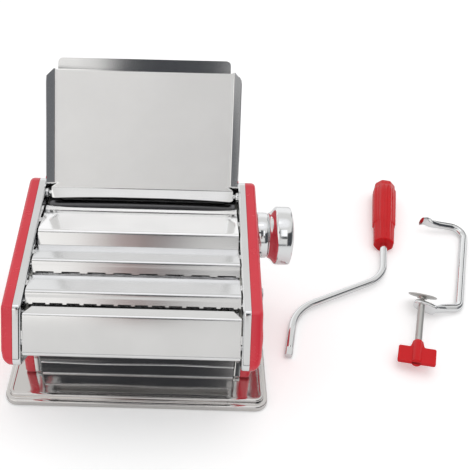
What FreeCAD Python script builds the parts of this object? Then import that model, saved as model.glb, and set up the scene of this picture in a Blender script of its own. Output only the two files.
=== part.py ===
import FreeCAD, Part
import math
import os

# Household pasta machine with one pair of smooth sheeting rollers, one wide and one
# narrow cutter pair, a lift-off feed tray, a crank and a table clamp.
# Frame: X to the right, Y to the rear, Z up, millimetres, origin on the table at the
# middle of the base tray.

os.makedirs("parts", exist_ok=True)
V = FreeCAD.Vector

# Side frames and covers
SPAN = 152.0                # between the inner faces of the two side frames
FRAME_THICK = 1.2
FRAME_DEPTH = 5.8           # inner face to the edge of the turned-out flange
COVER_DEPTH = 8.2
COVER_THICK = 2.0
COVER_EDGE = 2.2            # bevel of the cover's outer edge
POSTS = ((-28.0, 40.0), (50.0, 50.0))
BASE_Z = 9.0                # top of the tray, where the frames stand
REST_PIN = (52.2, 121.3, 2.4)  # y, z, radius of the pins under the feed tray's lip
SIDE_OUTLINE = [            # y, z, corner radius
    (-88.1, 75.6, 6.0),     # nose
    (-65.5, 111.4, 5.0),    # front ridge
    (60.0, 131.2, 9.0),     # rear top
    (90.0, 92.0, 14.0),
    (57.6, BASE_Z, 4.0),
    (-40.4, BASE_Z, 3.0),
    (-36.8, 42.0, 18.0),
]
INNER_X = SPAN / 2
PLATE_X = INNER_X + FRAME_THICK
RIM_X = INNER_X + FRAME_DEPTH
OUTER_X = RIM_X + COVER_DEPTH

# Base tray
TRAY_WIDTH = 206.4
TRAY_DEPTH = 130.0
TRAY_CORNER = 10.0
TRAY_THICK = 0.9
TRAY_CLEAR = 0.8            # skirt above the table
TRAY_LEDGE_Z = 5.6
TRAY_LEDGE = 3.6
TRAY_BEAD = 3.6
FOOT_RADIUS = 7.0
FOOT_X = 88.0
FOOT_Y = 50.0

# Sheet parts between the frames
SHEET = 0.8
ROD_RADIUS = 3.0
ROD_AXES = {"nose": (-73.0, 77.0), "middle": (2.0, 96.0), "rear": (76.0, 90.0), "foot": (-30.0, 18.0)}
CLAMP_SLOT = (17.0, 7.6)    # width and height of the clamp's hole in the rear chute
CLAMP_SLOT_Z = 16.4
CHUTE_Y = 54.0

# Smooth rollers
ROLLER_RADIUS = 14.0
ROLLER_HALF = 74.5
ROLLER_Z = 102.0
FIXED_Y = 57.0
BUSH_HALF = 8.0
CARRIER_BAR = (14.0, 84.0, 5.0)  # y, z and side of the bar that ties the carriers
CLOSED_GAP = 0.3
GAP_TRAVEL = 2.44
MOVING_Y = FIXED_Y - 2 * ROLLER_RADIUS - CLOSED_GAP
ROLLER_JOURNAL = 5.0
ROLLER_SQUARE = 7.0         # squared left end, for the gear
RUNNING_FIT = 0.05
GEAR_TEETH = 12
GEAR_X = (-85.8, -80.2)
SHAFT_END = -86.2

# Cutter rollers
CUTTER_RADIUS = 8.5
CUTTER_CORE = 6.9
CUTTER_JOURNAL = 4.0
CUTTER_SQUARE = 5.6
CUTTER_PITCH = 15.6         # between the axes of a pair
CUTTERS = {                 # nip y, axis z, strip width, strips, facets of a ring
    "wide": (-28.1, 100.0, 8.0, 18, 12),
    "narrow": (-57.6, 89.2, 2.5, 58, 8),
}
RING_PLAY = 0.1
BLOCK_HALF = 6.4            # half height of the nylon bearing blocks
BLOCK_CORNER = 2.5
BLOCK_X = (75.0, 79.0)

# Drive sockets for the crank
SOCKET_RADIUS = 3.6
SOCKET_ROUND = 5.0
SOCKET_FLATS = 5.3
SOCKET_DEPTH = 11.0
HUB_RADIUS = 5.2
HUB_START = 79.4
HUB_ENDS = {"smooth": OUTER_X + 1.2, "wide": OUTER_X + 2.0, "narrow": OUTER_X + 0.6}
BOSS_RADIUS = 9.0
BOSS_HEIGHT = 0.5

# Thickness knob
COLLAR_RADIUS = 18.0
COLLAR_END = OUTER_X + 9.2
KNOB_RADIUS = 23.0
KNOB_START = COLLAR_END + 0.4
KNOB_END = 120.6
KNOB_SHAFT = 5.0
KNOB_SQUARE = 6.9
SPRING_RADIUS = 8.4
SPRING_CLOSED = 2.6
SPRING_WIRE = 1.6
COLLAR_BORE = 9.5
COLLAR_WALL = 1.2
CAM_X = 80.4
CAM_THICK = 6.2
FOLLOWER_REACH = 5.0
CAM_RADIUS = 8.0
CAM_TURN = 280.0
CAM_FLATS = 10
CAM_PLAY = 0.15
FOLLOWER = 3.0              # side of the square follower

# Feed tray
FEED_WIDTH = 140.5
FEED_LEAN = math.radians(32.7)   # from the vertical, to the rear
FEED_FOOT = (53.0, 126.0)        # y, z of the fold above the curved lip
FEED_NOSE = (47.6, 120.7)        # lower end of the curved lip
FEED_HEIGHT = 92.5
FEED_FLANGE = 8.5
FEED_FLARE = math.radians(60.0)
FEED_SHEET = 0.9
FEED_START = 4.0                 # where the flared sides start above the fold
FEED_LIP = 8.7
FEED_LIP_RISE = math.radians(50.0)
FEED_LIP_INSET = 3.0

# Crank, lying on the table
CRANK_TIP = V(124.1, -10.3, 3.5)
CRANK_YAW = -11.3
CRANK_TILT = 2.2
CRANK_ROD = 3.5
CRANK_SHAFT = 52.5
CRANK_ARM = 97.8
CRANK_ANGLE = 52.0
GRIP_START = 43.8
GRIP_LENGTH = 97.0
GRIP_SIDES = 12
GRIP_PROFILE = [(0.0, 7.6), (30.0, 9.3), (33.0, 10.4), (83.0, 11.8), (84.5, 10.4), (93.0, 10.0), (97.0, 6.6)]

# Clamp, lying on the table; x across, y along the screw, z normal to its frame
CLAMP_EYE = V(245.8, 41.9, 12.5)
CLAMP_YAW = -17.0
CLAMP_TILT = 13.5
CLAMP_ROD = 3.8
CLAMP_ELBOW = (34.6, 19.0)  # corner between the lower arm and the long bar
CLAMP_REACH = 37.3
CLAMP_TOP = 139.0
PAD_RADIUS = 12.5
PAD_THICK = (1.8, 3.2)      # of the pad's hub, and of the whole pad
PAD_HUB = 4.6
PAD_Y = 11.3
PAD_TILT = 30.0             # the loose pad leans on its neck
NECK_RADIUS = 1.2
NECK_END = 10.4
PAD_SIDES = 32
BEND_STEPS = 4              # straight pieces in each bend of a rod
SCREW_RADIUS = 3.0
SCREW_LENGTH = 57.0
SCREW_TOP = 8.8
WING_HALF = 15.0
WING_LENGTH = 17.2
WING_LOW = -67.0
WING_NECK = 7.2
WING_THICK = 3.6
WING_ROLL = -8.0
EYE_Y = (0.6, 5.0)
EYE_HALF = 5.4
CLAMP_NECK = 11.0
TIP_THICK = 3.2


def side_view(x):
    return lambda y, z: V(x, y, z)


def plan_view(z):
    return lambda x, y: V(x, y, z)


def front_view(y):
    return lambda x, z: V(x, y, z)


def rounded_edges(corners, lift, closed=True):
    """Lines and arcs along corners (a, b, radius)."""
    points = [V(a, b, 0) for a, b, radius in corners]
    last = len(corners) - 1
    spans = []
    for i, (a, b, radius) in enumerate(corners):
        here = points[i]
        if radius == 0 or (not closed and i in (0, last)):
            spans.append((here, None, here))
            continue
        back = (points[i - 1] - here).normalize()
        ahead = (points[(i + 1) % len(points)] - here).normalize()
        half = back.getAngle(ahead) / 2
        reach = radius / math.tan(half)
        crown = (back + ahead).normalize() * (radius / math.sin(half) - radius)
        spans.append((here + back * reach, here + crown, here + ahead * reach))
    edges = []
    for i, (start, crown, end) in enumerate(spans):
        if crown is not None:
            bend = Part.Arc(lift(start.x, start.y), lift(crown.x, crown.y), lift(end.x, end.y))
            edges.append(bend.toShape())
        following = spans[(i + 1) % len(spans)][0]
        if (closed or i < last) and (following - end).Length > 1e-6:
            edges.append(Part.makeLine(lift(end.x, end.y), lift(following.x, following.y)))
    return edges


def outline_face(corners, lift):
    return Part.Face(Part.Wire(rounded_edges(corners, lift)))


def prism(corners, lift, sweep):
    return outline_face(corners, lift).extrude(sweep)


def sheet_corners(corners, thick):
    """Closed outline of a sheet bent along corners (a, b, inside radius), thickened to the left."""
    points = [V(a, b, 0) for a, b, radius in corners]
    normals = []
    for start, end in zip(points, points[1:]):
        along = (end - start).normalize()
        normals.append(V(-along.y, along.x, 0))
    near = []
    far = []
    for i, (a, b, radius) in enumerate(corners):
        before = normals[max(i - 1, 0)]
        after = normals[min(i, len(normals) - 1)]
        mitre = before + after
        shift = mitre * (thick / mitre.dot(before))
        end = i in (0, len(corners) - 1)
        turns_left = before.cross(after).z > 0
        near_radius = 0 if end else radius + (thick if turns_left else 0)
        far_radius = 0 if end else radius + (0 if turns_left else thick)
        near.append((a, b, near_radius))
        far.append((a + shift.x, b + shift.y, far_radius))
    return near + far[::-1]


def cross_sheet(corners, thick=SHEET, half=INNER_X):
    """Folded sheet that spans the machine, its outline given from the side."""
    return prism(sheet_corners(corners, thick), side_view(-half), V(2 * half, 0, 0))


def turned(profile, x_from, y, z):
    """Solid of revolution about an axis along X; profile is (distance along X, radius)."""
    length = profile[-1][0]
    points = [V(0, 0, 0)] + [V(a, r, 0) for a, r in profile] + [V(length, 0, 0), V(0, 0, 0)]
    solid = Part.Face(Part.makePolygon(points)).revolve(V(0, 0, 0), V(1, 0, 0), 360)
    solid.translate(V(x_from, y, z))
    return solid


def cylinder_x(radius, x_from, x_to, y, z):
    return Part.makeCylinder(radius, x_to - x_from, V(x_from, y, z), V(1, 0, 0))


def mirrored(shape):
    return shape.mirror(V(0, 0, 0), V(1, 0, 0))


def edges_at_x(shape, x):
    return [e for e in shape.Edges if max(abs(e.BoundBox.XMin - x), abs(e.BoundBox.XMax - x)) < 1e-4]


def edges_at_z(shape, z):
    return [e for e in shape.Edges if max(abs(e.BoundBox.ZMin - z), abs(e.BoundBox.ZMax - z)) < 1e-4]


def cutter_axes(name):
    """Y of the front and rear roller of a cutter pair, and their height."""
    nip, height = CUTTERS[name][:2]
    return nip - CUTTER_PITCH / 2, nip + CUTTER_PITCH / 2, height


def block_prism(y_front, y_rear, z, half, x_from, x_to):
    """Block along X with cut corners, around axes from y_front to y_rear."""
    front, rear, low, high = y_front - half, y_rear + half, z - half, z + half
    cut = min(BLOCK_CORNER, half / 4)
    corners = [(front + cut, low), (rear - cut, low), (rear, low + cut), (rear, high - cut),
               (rear - cut, high), (front + cut, high), (front, high - cut), (front, low + cut)]
    return prism([(y, z, 0) for y, z in corners], side_view(x_from), V(x_to - x_from, 0, 0))


def square_prism(side, x_from, x_to, y, z):
    return Part.makeBox(x_to - x_from, side, side, V(x_from, y - side / 2, z - side / 2))


def both_sides(shape):
    """The piece and its mirror image, as one group."""
    return Part.makeCompound(mirrored(shape).Solids + shape.Solids)


def side_frame():
    """Right side frame: pressed plate with a flange turned outwards all round."""
    face = outline_face(SIDE_OUTLINE, side_view(INNER_X))
    block = face.extrude(V(FRAME_DEPTH, 0, 0))
    hollow = face.makeOffset2D(-FRAME_THICK).extrude(V(FRAME_DEPTH, 0, 0))
    hollow.translate(V(FRAME_THICK, 0, 0))
    frame = block.cut(hollow)
    low, high = INNER_X - 1, PLATE_X + 1
    slide = (MOVING_Y - GAP_TRAVEL, MOVING_Y)
    bar_slide = (CARRIER_BAR[0] - GAP_TRAVEL, CARRIER_BAR[0])
    windows = [block_prism(FIXED_Y, FIXED_Y, ROLLER_Z, BUSH_HALF, low, high),
               block_prism(*slide, ROLLER_Z, ROLLER_JOURNAL + 1.0, low, high),
               block_prism(*bar_slide, CARRIER_BAR[1], CARRIER_BAR[2] / 2 + 0.6, low, high)]
    for name in CUTTERS:
        front, rear, height = cutter_axes(name)
        windows.append(block_prism(front, rear, height, BLOCK_HALF, low, high))
    pin = cylinder_x(REST_PIN[2], INNER_X - 10.0, INNER_X, *REST_PIN[:2])
    return frame.cut(windows).fuse(pin)


def side_cover(with_sockets):
    """Moulded cover, open towards the frame; the right one has the sockets and the knob's hole."""
    face = outline_face(SIDE_OUTLINE, side_view(RIM_X))
    cover = face.extrude(V(COVER_DEPTH, 0, 0))
    cover = cover.makeChamfer(COVER_EDGE, edges_at_x(cover, OUTER_X))
    hollow = face.makeOffset2D(-COVER_THICK).extrude(V(COVER_DEPTH - COVER_THICK, 0, 0))
    cover = cover.cut(hollow)
    posts = [cylinder_x(3.0, PLATE_X, OUTER_X - COVER_THICK, y, z) for y, z in POSTS]
    cover = cover.multiFuse(posts)
    if with_sockets:
        centres = [(FIXED_Y, ROLLER_Z)]
        for name in CUTTERS:
            front, rear, height = cutter_axes(name)
            centres.append((front, height))
        boss_from = OUTER_X - COVER_THICK
        bosses = [cylinder_x(BOSS_RADIUS, boss_from, OUTER_X + BOSS_HEIGHT, y, z) for y, z in centres]
        cover = cover.multiFuse(bosses)
        holes = [cylinder_x(HUB_RADIUS + 0.6, RIM_X, OUTER_X + 5, y, z) for y, z in centres]
        holes.append(cylinder_x(7.0, RIM_X, OUTER_X + 5, MOVING_Y, ROLLER_Z))
        cover = cover.cut(holes)
    return cover


def slab(inset, z_from, z_to):
    """Plate with the tray's outline, drawn in by inset."""
    half_x = TRAY_WIDTH / 2 - inset
    half_y = TRAY_DEPTH / 2 - inset
    radius = max(TRAY_CORNER - inset, 1.5)
    corners = [(-half_x, -half_y, radius), (half_x, -half_y, radius),
               (half_x, half_y, radius), (-half_x, half_y, radius)]
    return prism(corners, plan_view(z_from), V(0, 0, z_to - z_from))


def base_tray():
    """Pressed tray: skirt, ledge, raised bead and a plateau just below the bead."""
    bead_top = BASE_Z + 1.0
    skirt = slab(0, TRAY_CLEAR, TRAY_LEDGE_Z)
    plateau = slab(TRAY_LEDGE, TRAY_CLEAR, bead_top)
    plateau = plateau.makeChamfer(1.0, edges_at_z(plateau, bead_top))
    recess = slab(TRAY_LEDGE + TRAY_BEAD, BASE_Z, bead_top + 1)
    low_hollow = slab(TRAY_THICK, 0, TRAY_LEDGE_Z - TRAY_THICK)
    high_hollow = slab(TRAY_LEDGE + TRAY_THICK, 0, BASE_Z - TRAY_THICK)
    return skirt.fuse(plateau).cut([recess, low_hollow, high_hollow])


def guide_plates():
    """The three ridged plates on top, from rear to front, and the front fascia."""
    rear = [(42.4, 115.2, 0), (40.4, 118.4, 1.6), (36.9, 116.6, 3.0), (4.9, 121.5, 1.5), (-1.3, 112.2, 0)]
    middle = [(-2.2, 112.9, 0), (-22.9, 117.5, 1.5), (-27.2, 108.0, 0)]
    front = [(-29.6, 109.3, 0), (-51.2, 113.4, 1.5), (-56.5, 105.4, 0)]
    fascia = [(-58.9, 105.8, 0), (-66.8, 106.2, 2.0), (-82.8, 81.4, 2.5), (-77.6, 76.4, 0)]
    return {"guide_plate_rear": cross_sheet(rear), "guide_plate_middle": cross_sheet(middle),
            "guide_plate_front": cross_sheet(front), "front_fascia": cross_sheet(fascia)}


def chutes():
    """Lower front sheet, rear chute with the clamp's slot, and the panel behind the rollers."""
    apron = cross_sheet([(-4.0, 82.0, 0), (-39.6, 46.0, 12.0), (-39.6, BASE_Z, 0)])
    chute = cross_sheet([(CHUTE_Y, BASE_Z, 0), (CHUTE_Y, 27.0, 8.0), (-2.6, 81.4, 0)])
    width, height = CLAMP_SLOT
    slot = Part.makeBox(width, 10, height, V(-width / 2, CHUTE_Y - 5, CLAMP_SLOT_Z - height / 2))
    chute = chute.cut(slot)
    panel = cross_sheet([(75.6, 60.0, 0), (88.0, 92.2, 11.0), (60.6, 129.0, 3.0), (55.4, 128.2, 0)])
    return {"front_apron": apron, "rear_chute": chute, "rear_panel": panel}


def scrapers():
    """Spring strips that lift the sheet off the smooth rollers."""
    half_gap = (FIXED_Y - MOVING_Y) / 2
    middle = FIXED_Y - half_gap
    shapes = {}
    for name, way in (("rear", 1), ("front", -1)):
        corners = [(middle + way * 21.0, 84.0, 0), (middle + way * 11.0, 84.6, 3.0),
                   (middle + way * 7.4, 88.2, 0)]
        if way > 0:
            corners.reverse()
        shapes["roller_scraper_" + name] = cross_sheet(corners, 0.6)
    return shapes


def gear(pitch_radius, addendum, dedendum, square, centre, first_tooth):
    """Spur gear with straight-flanked teeth on a squared shaft; first_tooth is a side view angle."""
    pitch = 2 * math.pi / GEAR_TEETH
    tip = pitch_radius + addendum
    root = pitch_radius - dedendum
    points = []
    for i in range(GEAR_TEETH):
        middle = math.radians(first_tooth) + i * pitch
        for radius, lean in ((root, -0.30), (tip, -0.13), (tip, 0.13), (root, 0.30)):
            angle = middle + lean * pitch
            points.append((centre[0] + radius * math.cos(angle), centre[1] + radius * math.sin(angle), 0))
    low, high = GEAR_X
    blank = prism(points, side_view(low), V(high - low, 0, 0))
    return blank.cut(square_prism(square, low - 1, high + 1, *centre))


def socket_bore(end, y, z):
    """Round mouth for the crank's end, then a slot between two flats."""
    mouth = cylinder_x(SOCKET_RADIUS, end - SOCKET_ROUND, end, y, z)
    corner = V(end - SOCKET_DEPTH, y - SOCKET_RADIUS, z - SOCKET_FLATS / 2)
    slot = Part.makeBox(SOCKET_DEPTH - SOCKET_ROUND, 2 * SOCKET_RADIUS, SOCKET_FLATS, corner)
    return mouth.fuse(slot)


def smooth_rollers():
    """Fixed roller with its drive hub, adjustable roller, and a gear on the left of each."""
    shapes = []
    for y, right_end in ((FIXED_Y, HUB_ENDS["smooth"]), (MOVING_Y, PLATE_X + 2.2)):
        barrel = cylinder_x(ROLLER_RADIUS, -ROLLER_HALF, ROLLER_HALF, y, ROLLER_Z)
        journal = cylinder_x(ROLLER_JOURNAL, GEAR_X[1] + 0.4, right_end, y, ROLLER_Z)
        square = square_prism(ROLLER_SQUARE, SHAFT_END, -ROLLER_HALF, y, ROLLER_Z)
        shapes.append(barrel.multiFuse([journal, square]))
    fixed, moving = shapes
    fixed = fixed.cut(socket_bore(HUB_ENDS["smooth"], FIXED_Y, ROLLER_Z))
    pitch_radius = (FIXED_Y - MOVING_Y) / 2
    teeth = (pitch_radius, 2.2, 2.7, ROLLER_SQUARE)
    return {
        "fixed_roller": fixed,
        "adjustable_roller": moving,
        "fixed_roller_gear": gear(*teeth, (FIXED_Y, ROLLER_Z), 180.0),
        "adjustable_roller_gear": gear(*teeth, (MOVING_Y, ROLLER_Z), 15.0),
    }


def faceted_roller(profile, facets, y, z):
    """Stepped roller with flat facets, along X; profile is (x, radius)."""
    angles = [2 * math.pi * (i + 0.5) / facets for i in range(facets)]

    def ring(x, radius):
        return [V(x, y + radius * math.cos(a), z + radius * math.sin(a)) for a in angles]

    def loop(x, radius):
        points = ring(x, radius)
        return Part.makePolygon(points + points[:1])

    faces = [Part.Face(loop(*profile[0]))]
    for (x_from, r_from), (x_to, r_to) in zip(profile, profile[1:]):
        if x_from == x_to:
            rim = [loop(x_from, max(r_from, r_to)), loop(x_from, min(r_from, r_to))]
            faces.append(Part.makeFace(rim, "Part::FaceMakerBullseye"))
            continue
        start = ring(x_from, r_from)
        end = ring(x_to, r_to)
        for i in range(facets):
            j = (i + 1) % facets
            faces.append(Part.Face(Part.makePolygon([start[i], start[j], end[j], end[i], start[i]])))
    faces.append(Part.Face(loop(*profile[-1])))
    shell = Part.makeShell(faces)
    shell.sewShape()
    solid = Part.makeSolid(shell)
    if solid.Volume < 0:
        solid.reverse()
    return solid


def cutter_roller(name, first, y, z, driven):
    """Roller whose rings cut against the other roller's; rings are every second strip from first."""
    strip, count, facets = CUTTERS[name][2:]
    start = -strip * count / 2
    profile = [(-ROLLER_HALF, CUTTER_CORE)]
    for i in range(first, count, 2):
        low = start + i * strip + RING_PLAY
        high = low + strip - 2 * RING_PLAY
        profile += [(low, CUTTER_CORE), (low, CUTTER_RADIUS), (high, CUTTER_RADIUS), (high, CUTTER_CORE)]
    profile.append((ROLLER_HALF, CUTTER_CORE))
    roller = faceted_roller(profile, facets, y, z)
    left = cylinder_x(CUTTER_JOURNAL, GEAR_X[1] + 0.4, -ROLLER_HALF, y, z)
    square = square_prism(CUTTER_SQUARE, SHAFT_END, -ROLLER_HALF, y, z)
    right = cylinder_x(CUTTER_JOURNAL, ROLLER_HALF, HUB_START, y, z)
    ends = [left, square, right]
    if driven:
        ends.append(cylinder_x(HUB_RADIUS, HUB_START, HUB_ENDS[name], y, z))
    roller = roller.multiFuse(ends)
    return roller.cut(socket_bore(HUB_ENDS[name], y, z)) if driven else roller


def comb(name, first, y, z):
    """Upright plate under a cutter roller, with a tooth in each groove between the rings."""
    strip, count = CUTTERS[name][2:4]
    start = -strip * count / 2
    base_z = z - CUTTER_RADIUS - 0.7
    tip_z = z - CUTTER_CORE - 0.3
    side_gap = 0.3
    corners = [(-INNER_X, z - 12.5, 0), (INNER_X, z - 12.5, 0), (INNER_X, base_z, 0)]
    for i in reversed(range(1 - first, count, 2)):
        low = start + i * strip + side_gap
        high = low + strip - 2 * side_gap
        corners += [(high, base_z, 0), (high, tip_z, 0), (low, tip_z, 0), (low, base_z, 0)]
    corners.append((-INNER_X, base_z, 0))
    return prism(corners, front_view(y - 0.5), V(0, 1.0, 0))


def cutter_parts(name):
    """Two cutter rollers, their gears, combs and the bearing blocks in the frames."""
    front, rear, height = cutter_axes(name)
    pitch_radius = CUTTER_PITCH / 2
    teeth = (pitch_radius, 0.65, 0.95, CUTTER_SQUARE)
    block = block_prism(front, rear, height, BLOCK_HALF, *BLOCK_X)
    journal_bore = CUTTER_JOURNAL + RUNNING_FIT
    block = block.cut([cylinder_x(journal_bore, *BLOCK_X, y, height) for y in (front, rear)])
    return {
        name + "_cutter_front": cutter_roller(name, 0, front, height, True),
        name + "_cutter_rear": cutter_roller(name, 1, rear, height, False),
        name + "_front_gear": gear(*teeth, (front, height), 0.0),
        name + "_rear_gear": gear(*teeth, (rear, height), 195.0),
        name + "_comb_front": comb(name, 0, front, height),
        name + "_comb_rear": comb(name, 1, rear, height),
        name + "_bearings": both_sides(block),
    }


def roller_bearings():
    block = block_prism(FIXED_Y, FIXED_Y, ROLLER_Z, BUSH_HALF, *BLOCK_X)
    return both_sides(block.cut(cylinder_x(ROLLER_JOURNAL + RUNNING_FIT, *BLOCK_X, FIXED_Y, ROLLER_Z)))


def carriers():
    """Sliding plates that carry the adjustable roller, tied by a bar; the right one has the follower."""
    corners = [(9.5, 79.0, 0), (19.0, 79.0, 0), (39.5, 96.0, 3.0), (36.5, 111.5, 0), (22.0, 111.5, 0),
               (8.5, 87.0, 0)]
    low = PLATE_X + 0.2
    high = low + 2.0
    bar_y, bar_z, bar_side = CARRIER_BAR
    plate = prism(corners, side_view(low), V(high - low, 0, 0))
    plate = plate.cut([cylinder_x(ROLLER_JOURNAL + RUNNING_FIT, low, high, MOVING_Y, ROLLER_Z),
                       square_prism(bar_side, low, high, bar_y, bar_z)])
    follower_y = MOVING_Y - CAM_RADIUS - FOLLOWER / 2 - CAM_PLAY
    follower = square_prism(FOLLOWER, high, high + FOLLOWER_REACH, follower_y, ROLLER_Z)
    return {
        "carrier_right": plate.fuse(follower),
        "carrier_left": mirrored(plate),
        "carrier_bar": square_prism(bar_side, -high, high, bar_y, bar_z),
    }


def gap_cam():
    """Snail-shaped disc with a flat for each thickness, whose rise pushes the carrier forwards."""
    points = []
    for i in range(CAM_FLATS):
        turn = math.radians(CAM_TURN) * i / (CAM_FLATS - 1)
        radius = CAM_RADIUS + GAP_TRAVEL * i / (CAM_FLATS - 1)
        points.append((MOVING_Y - radius * math.cos(turn), ROLLER_Z - radius * math.sin(turn), 0))
    disc = prism(points, side_view(CAM_X), V(CAM_THICK, 0, 0))
    side = KNOB_SQUARE + 2 * RUNNING_FIT
    return disc.cut(square_prism(side, CAM_X, CAM_X + CAM_THICK, MOVING_Y, ROLLER_Z))


def index_collar():
    """Fixed collar on the right cover, hollow for the knob's spring."""
    collar = cylinder_x(COLLAR_RADIUS, OUTER_X, COLLAR_END, MOVING_Y, ROLLER_Z)
    return collar.cut([cylinder_x(COLLAR_BORE, OUTER_X, COLLAR_END - COLLAR_WALL, MOVING_Y, ROLLER_Z),
                       cylinder_x(KNOB_SHAFT + 0.1, OUTER_X, COLLAR_END, MOVING_Y, ROLLER_Z)])


def knob_parts():
    """Turned knob with its squared shaft and spring flange, and the spring as a closed sleeve."""
    length = KNOB_END - KNOB_START
    profile = [(0, 18.6), (6.0, KNOB_RADIUS), (length - 1.5, KNOB_RADIUS), (length, KNOB_RADIUS - 1.5)]
    head = turned(profile, KNOB_START, MOVING_Y, ROLLER_Z)
    flange_x = OUTER_X + 0.1
    flange = cylinder_x(COLLAR_BORE - 1.3, flange_x, flange_x + 1.0, MOVING_Y, ROLLER_Z)
    shaft = cylinder_x(KNOB_SHAFT, flange_x, KNOB_START, MOVING_Y, ROLLER_Z)
    square = square_prism(KNOB_SQUARE, CAM_X - 0.4, flange_x, MOVING_Y, ROLLER_Z)
    end = COLLAR_END - COLLAR_WALL
    ends = (end - SPRING_CLOSED, end)
    coil, core = [faceted_roller([(x, radius) for x in ends], 12, MOVING_Y, ROLLER_Z)
                  for radius in (SPRING_RADIUS, SPRING_RADIUS - SPRING_WIRE)]
    return {"knob": head.multiFuse([shaft, flange, square]), "knob_spring": coil.cut(core)}


def feed_tray():
    """Leaning sheet with flared sides, a turned-back top lip and a curved lip over the rollers."""
    up = V(0, math.sin(FEED_LEAN), math.cos(FEED_LEAN))
    front = V(0, -math.cos(FEED_LEAN), math.sin(FEED_LEAN))
    foot = V(0, *FEED_FOOT)
    top = foot + up * FEED_HEIGHT
    half = FEED_WIDTH / 2
    lip_end = top + V(0, math.cos(FEED_LIP_RISE), math.sin(FEED_LIP_RISE)) * FEED_LIP
    spine = [(*FEED_NOSE, 0), (foot.y, foot.z, 4.0), (top.y, top.z, 1.6), (lip_end.y, lip_end.z, 0)]
    lip_half = half - FEED_LIP_INSET
    sheet = prism(sheet_corners(spine, FEED_SHEET), side_view(-lip_half), V(2 * lip_half, 0, 0))
    out = FEED_FLANGE * math.cos(FEED_FLARE)
    forward = FEED_FLANGE * math.sin(FEED_FLARE)
    section = [(-half - out, forward, 0), (-half, 0, 1.2), (half, 0, 1.2), (half + out, forward, 0)]
    start = foot + up * FEED_START
    height = FEED_HEIGHT - FEED_START
    corners = sheet_corners(section, FEED_SHEET)
    body = prism(corners, lambda x, n: start + V(x, 0, 0) + front * n, up * height)
    side = [(0, -1, 0), (height, -1, 0), (height, forward + 1, 6.0), (0, forward + 1, 0)]
    wide = half + out + 1
    trim = prism(side, lambda s, n: start + up * s + front * n - V(wide, 0, 0), V(2 * wide, 0, 0))
    return sheet.fuse(body.common(trim))


def crank_placement():
    turn = FreeCAD.Rotation(V(0, 0, 1), CRANK_YAW)
    tilt = FreeCAD.Rotation(V(1, 0, 0), CRANK_TILT)
    return FreeCAD.Placement(CRANK_TIP, tilt.multiply(turn))


def bent_rod(route, radius):
    """Round rod along a flat route of (x, y, bend radius), each bend made of straight pieces."""
    points = []
    for edge in rounded_edges(route, plan_view(0), closed=False):
        steps = BEND_STEPS if isinstance(edge.Curve, Part.Circle) else 1
        ends = edge.discretize(steps + 1)
        if (ends[0] - edge.Vertexes[0].Point).Length > 1e-6:
            ends.reverse()
        points += ends if not points else ends[1:]
    path = Part.makePolygon(points)
    start = Part.Wire([Part.makeCircle(radius, points[0], points[1] - points[0])])
    return path.makePipeShell([start], True, False, 1)


def crank_parts():
    """Bent rod with a flatted end, and the grip that spins on it."""
    angle = math.radians(CRANK_ANGLE)
    elbow = V(CRANK_ARM * math.sin(angle), CRANK_SHAFT + CRANK_ARM * math.cos(angle), 0)
    rod_end = elbow.y + GRIP_START + GRIP_LENGTH - 6.0
    route = [(0, 0, 0), (0, CRANK_SHAFT, 42.0), (elbow.x, elbow.y, 34.0), (elbow.x, rod_end, 0)]
    rod = bent_rod(route, CRANK_ROD)
    flat = SOCKET_FLATS / 2 - 0.15
    rod = rod.cut([Part.makeBox(12, 9, 4, V(-6, -1, low)) for low in (flat, -flat - 4)])
    grip_foot = V(elbow.x, elbow.y + GRIP_START, 0)
    grip = faceted_roller(GRIP_PROFILE, GRIP_SIDES, 0, 0)
    grip.rotate(V(0, 0, 0), V(0, 0, 1), 90)
    grip.translate(grip_foot)
    bore = Part.makeCylinder(CRANK_ROD + RUNNING_FIT, GRIP_LENGTH - 5.5, grip_foot, V(0, 1, 0))
    shapes = {"crank_rod": rod, "crank_grip": grip.cut(bore)}
    for shape in shapes.values():
        shape.Placement = crank_placement().multiply(shape.Placement)
    return shapes


def clamp_placement():
    turn = FreeCAD.Rotation(V(0, 0, 1), CLAMP_YAW)
    return FreeCAD.Placement(CLAMP_EYE, turn)


def clamp_frame():
    """Bent rod with a flat eye for the screw at one end and a flat wavy tip at the other."""
    route = [(CLAMP_NECK, 5.6, 0), (*CLAMP_ELBOW, 11.0), (CLAMP_REACH, CLAMP_TOP, 11.0),
             (6.0, CLAMP_TOP - 10.0, 0)]
    rod = bent_rod(route, CLAMP_ROD)
    low, high = EYE_Y
    eye = [(-7.0, -2.4, 0), (-4.0, -EYE_HALF, 0), (CLAMP_NECK + 2.5, -EYE_HALF, 0),
           (CLAMP_NECK + 2.5, EYE_HALF, 0), (-4.0, EYE_HALF, 0), (-7.0, 2.4, 0)]
    plate = prism(eye, front_view(low), V(0, high - low, 0))
    tip_route = [(10.0, CLAMP_TOP - 11.0, 0), (3.0, CLAMP_TOP - 13.0, 3.0), (-3.0, CLAMP_TOP - 12.0, 3.0),
                 (-8.0, CLAMP_TOP - 16.0, 0)]
    tip = prism(sheet_corners(tip_route[::-1], TIP_THICK), plan_view(-5.0), V(0, 0, 10.0))
    frame = rod.multiFuse([plate, tip])
    frame = frame.cut(Part.makeCylinder(SCREW_RADIUS + 0.1, high - low, V(0, low, 0), V(0, 1, 0)))
    frame.rotate(V(0, 0, 0), V(0, 1, 0), CLAMP_TILT)
    return frame


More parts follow.
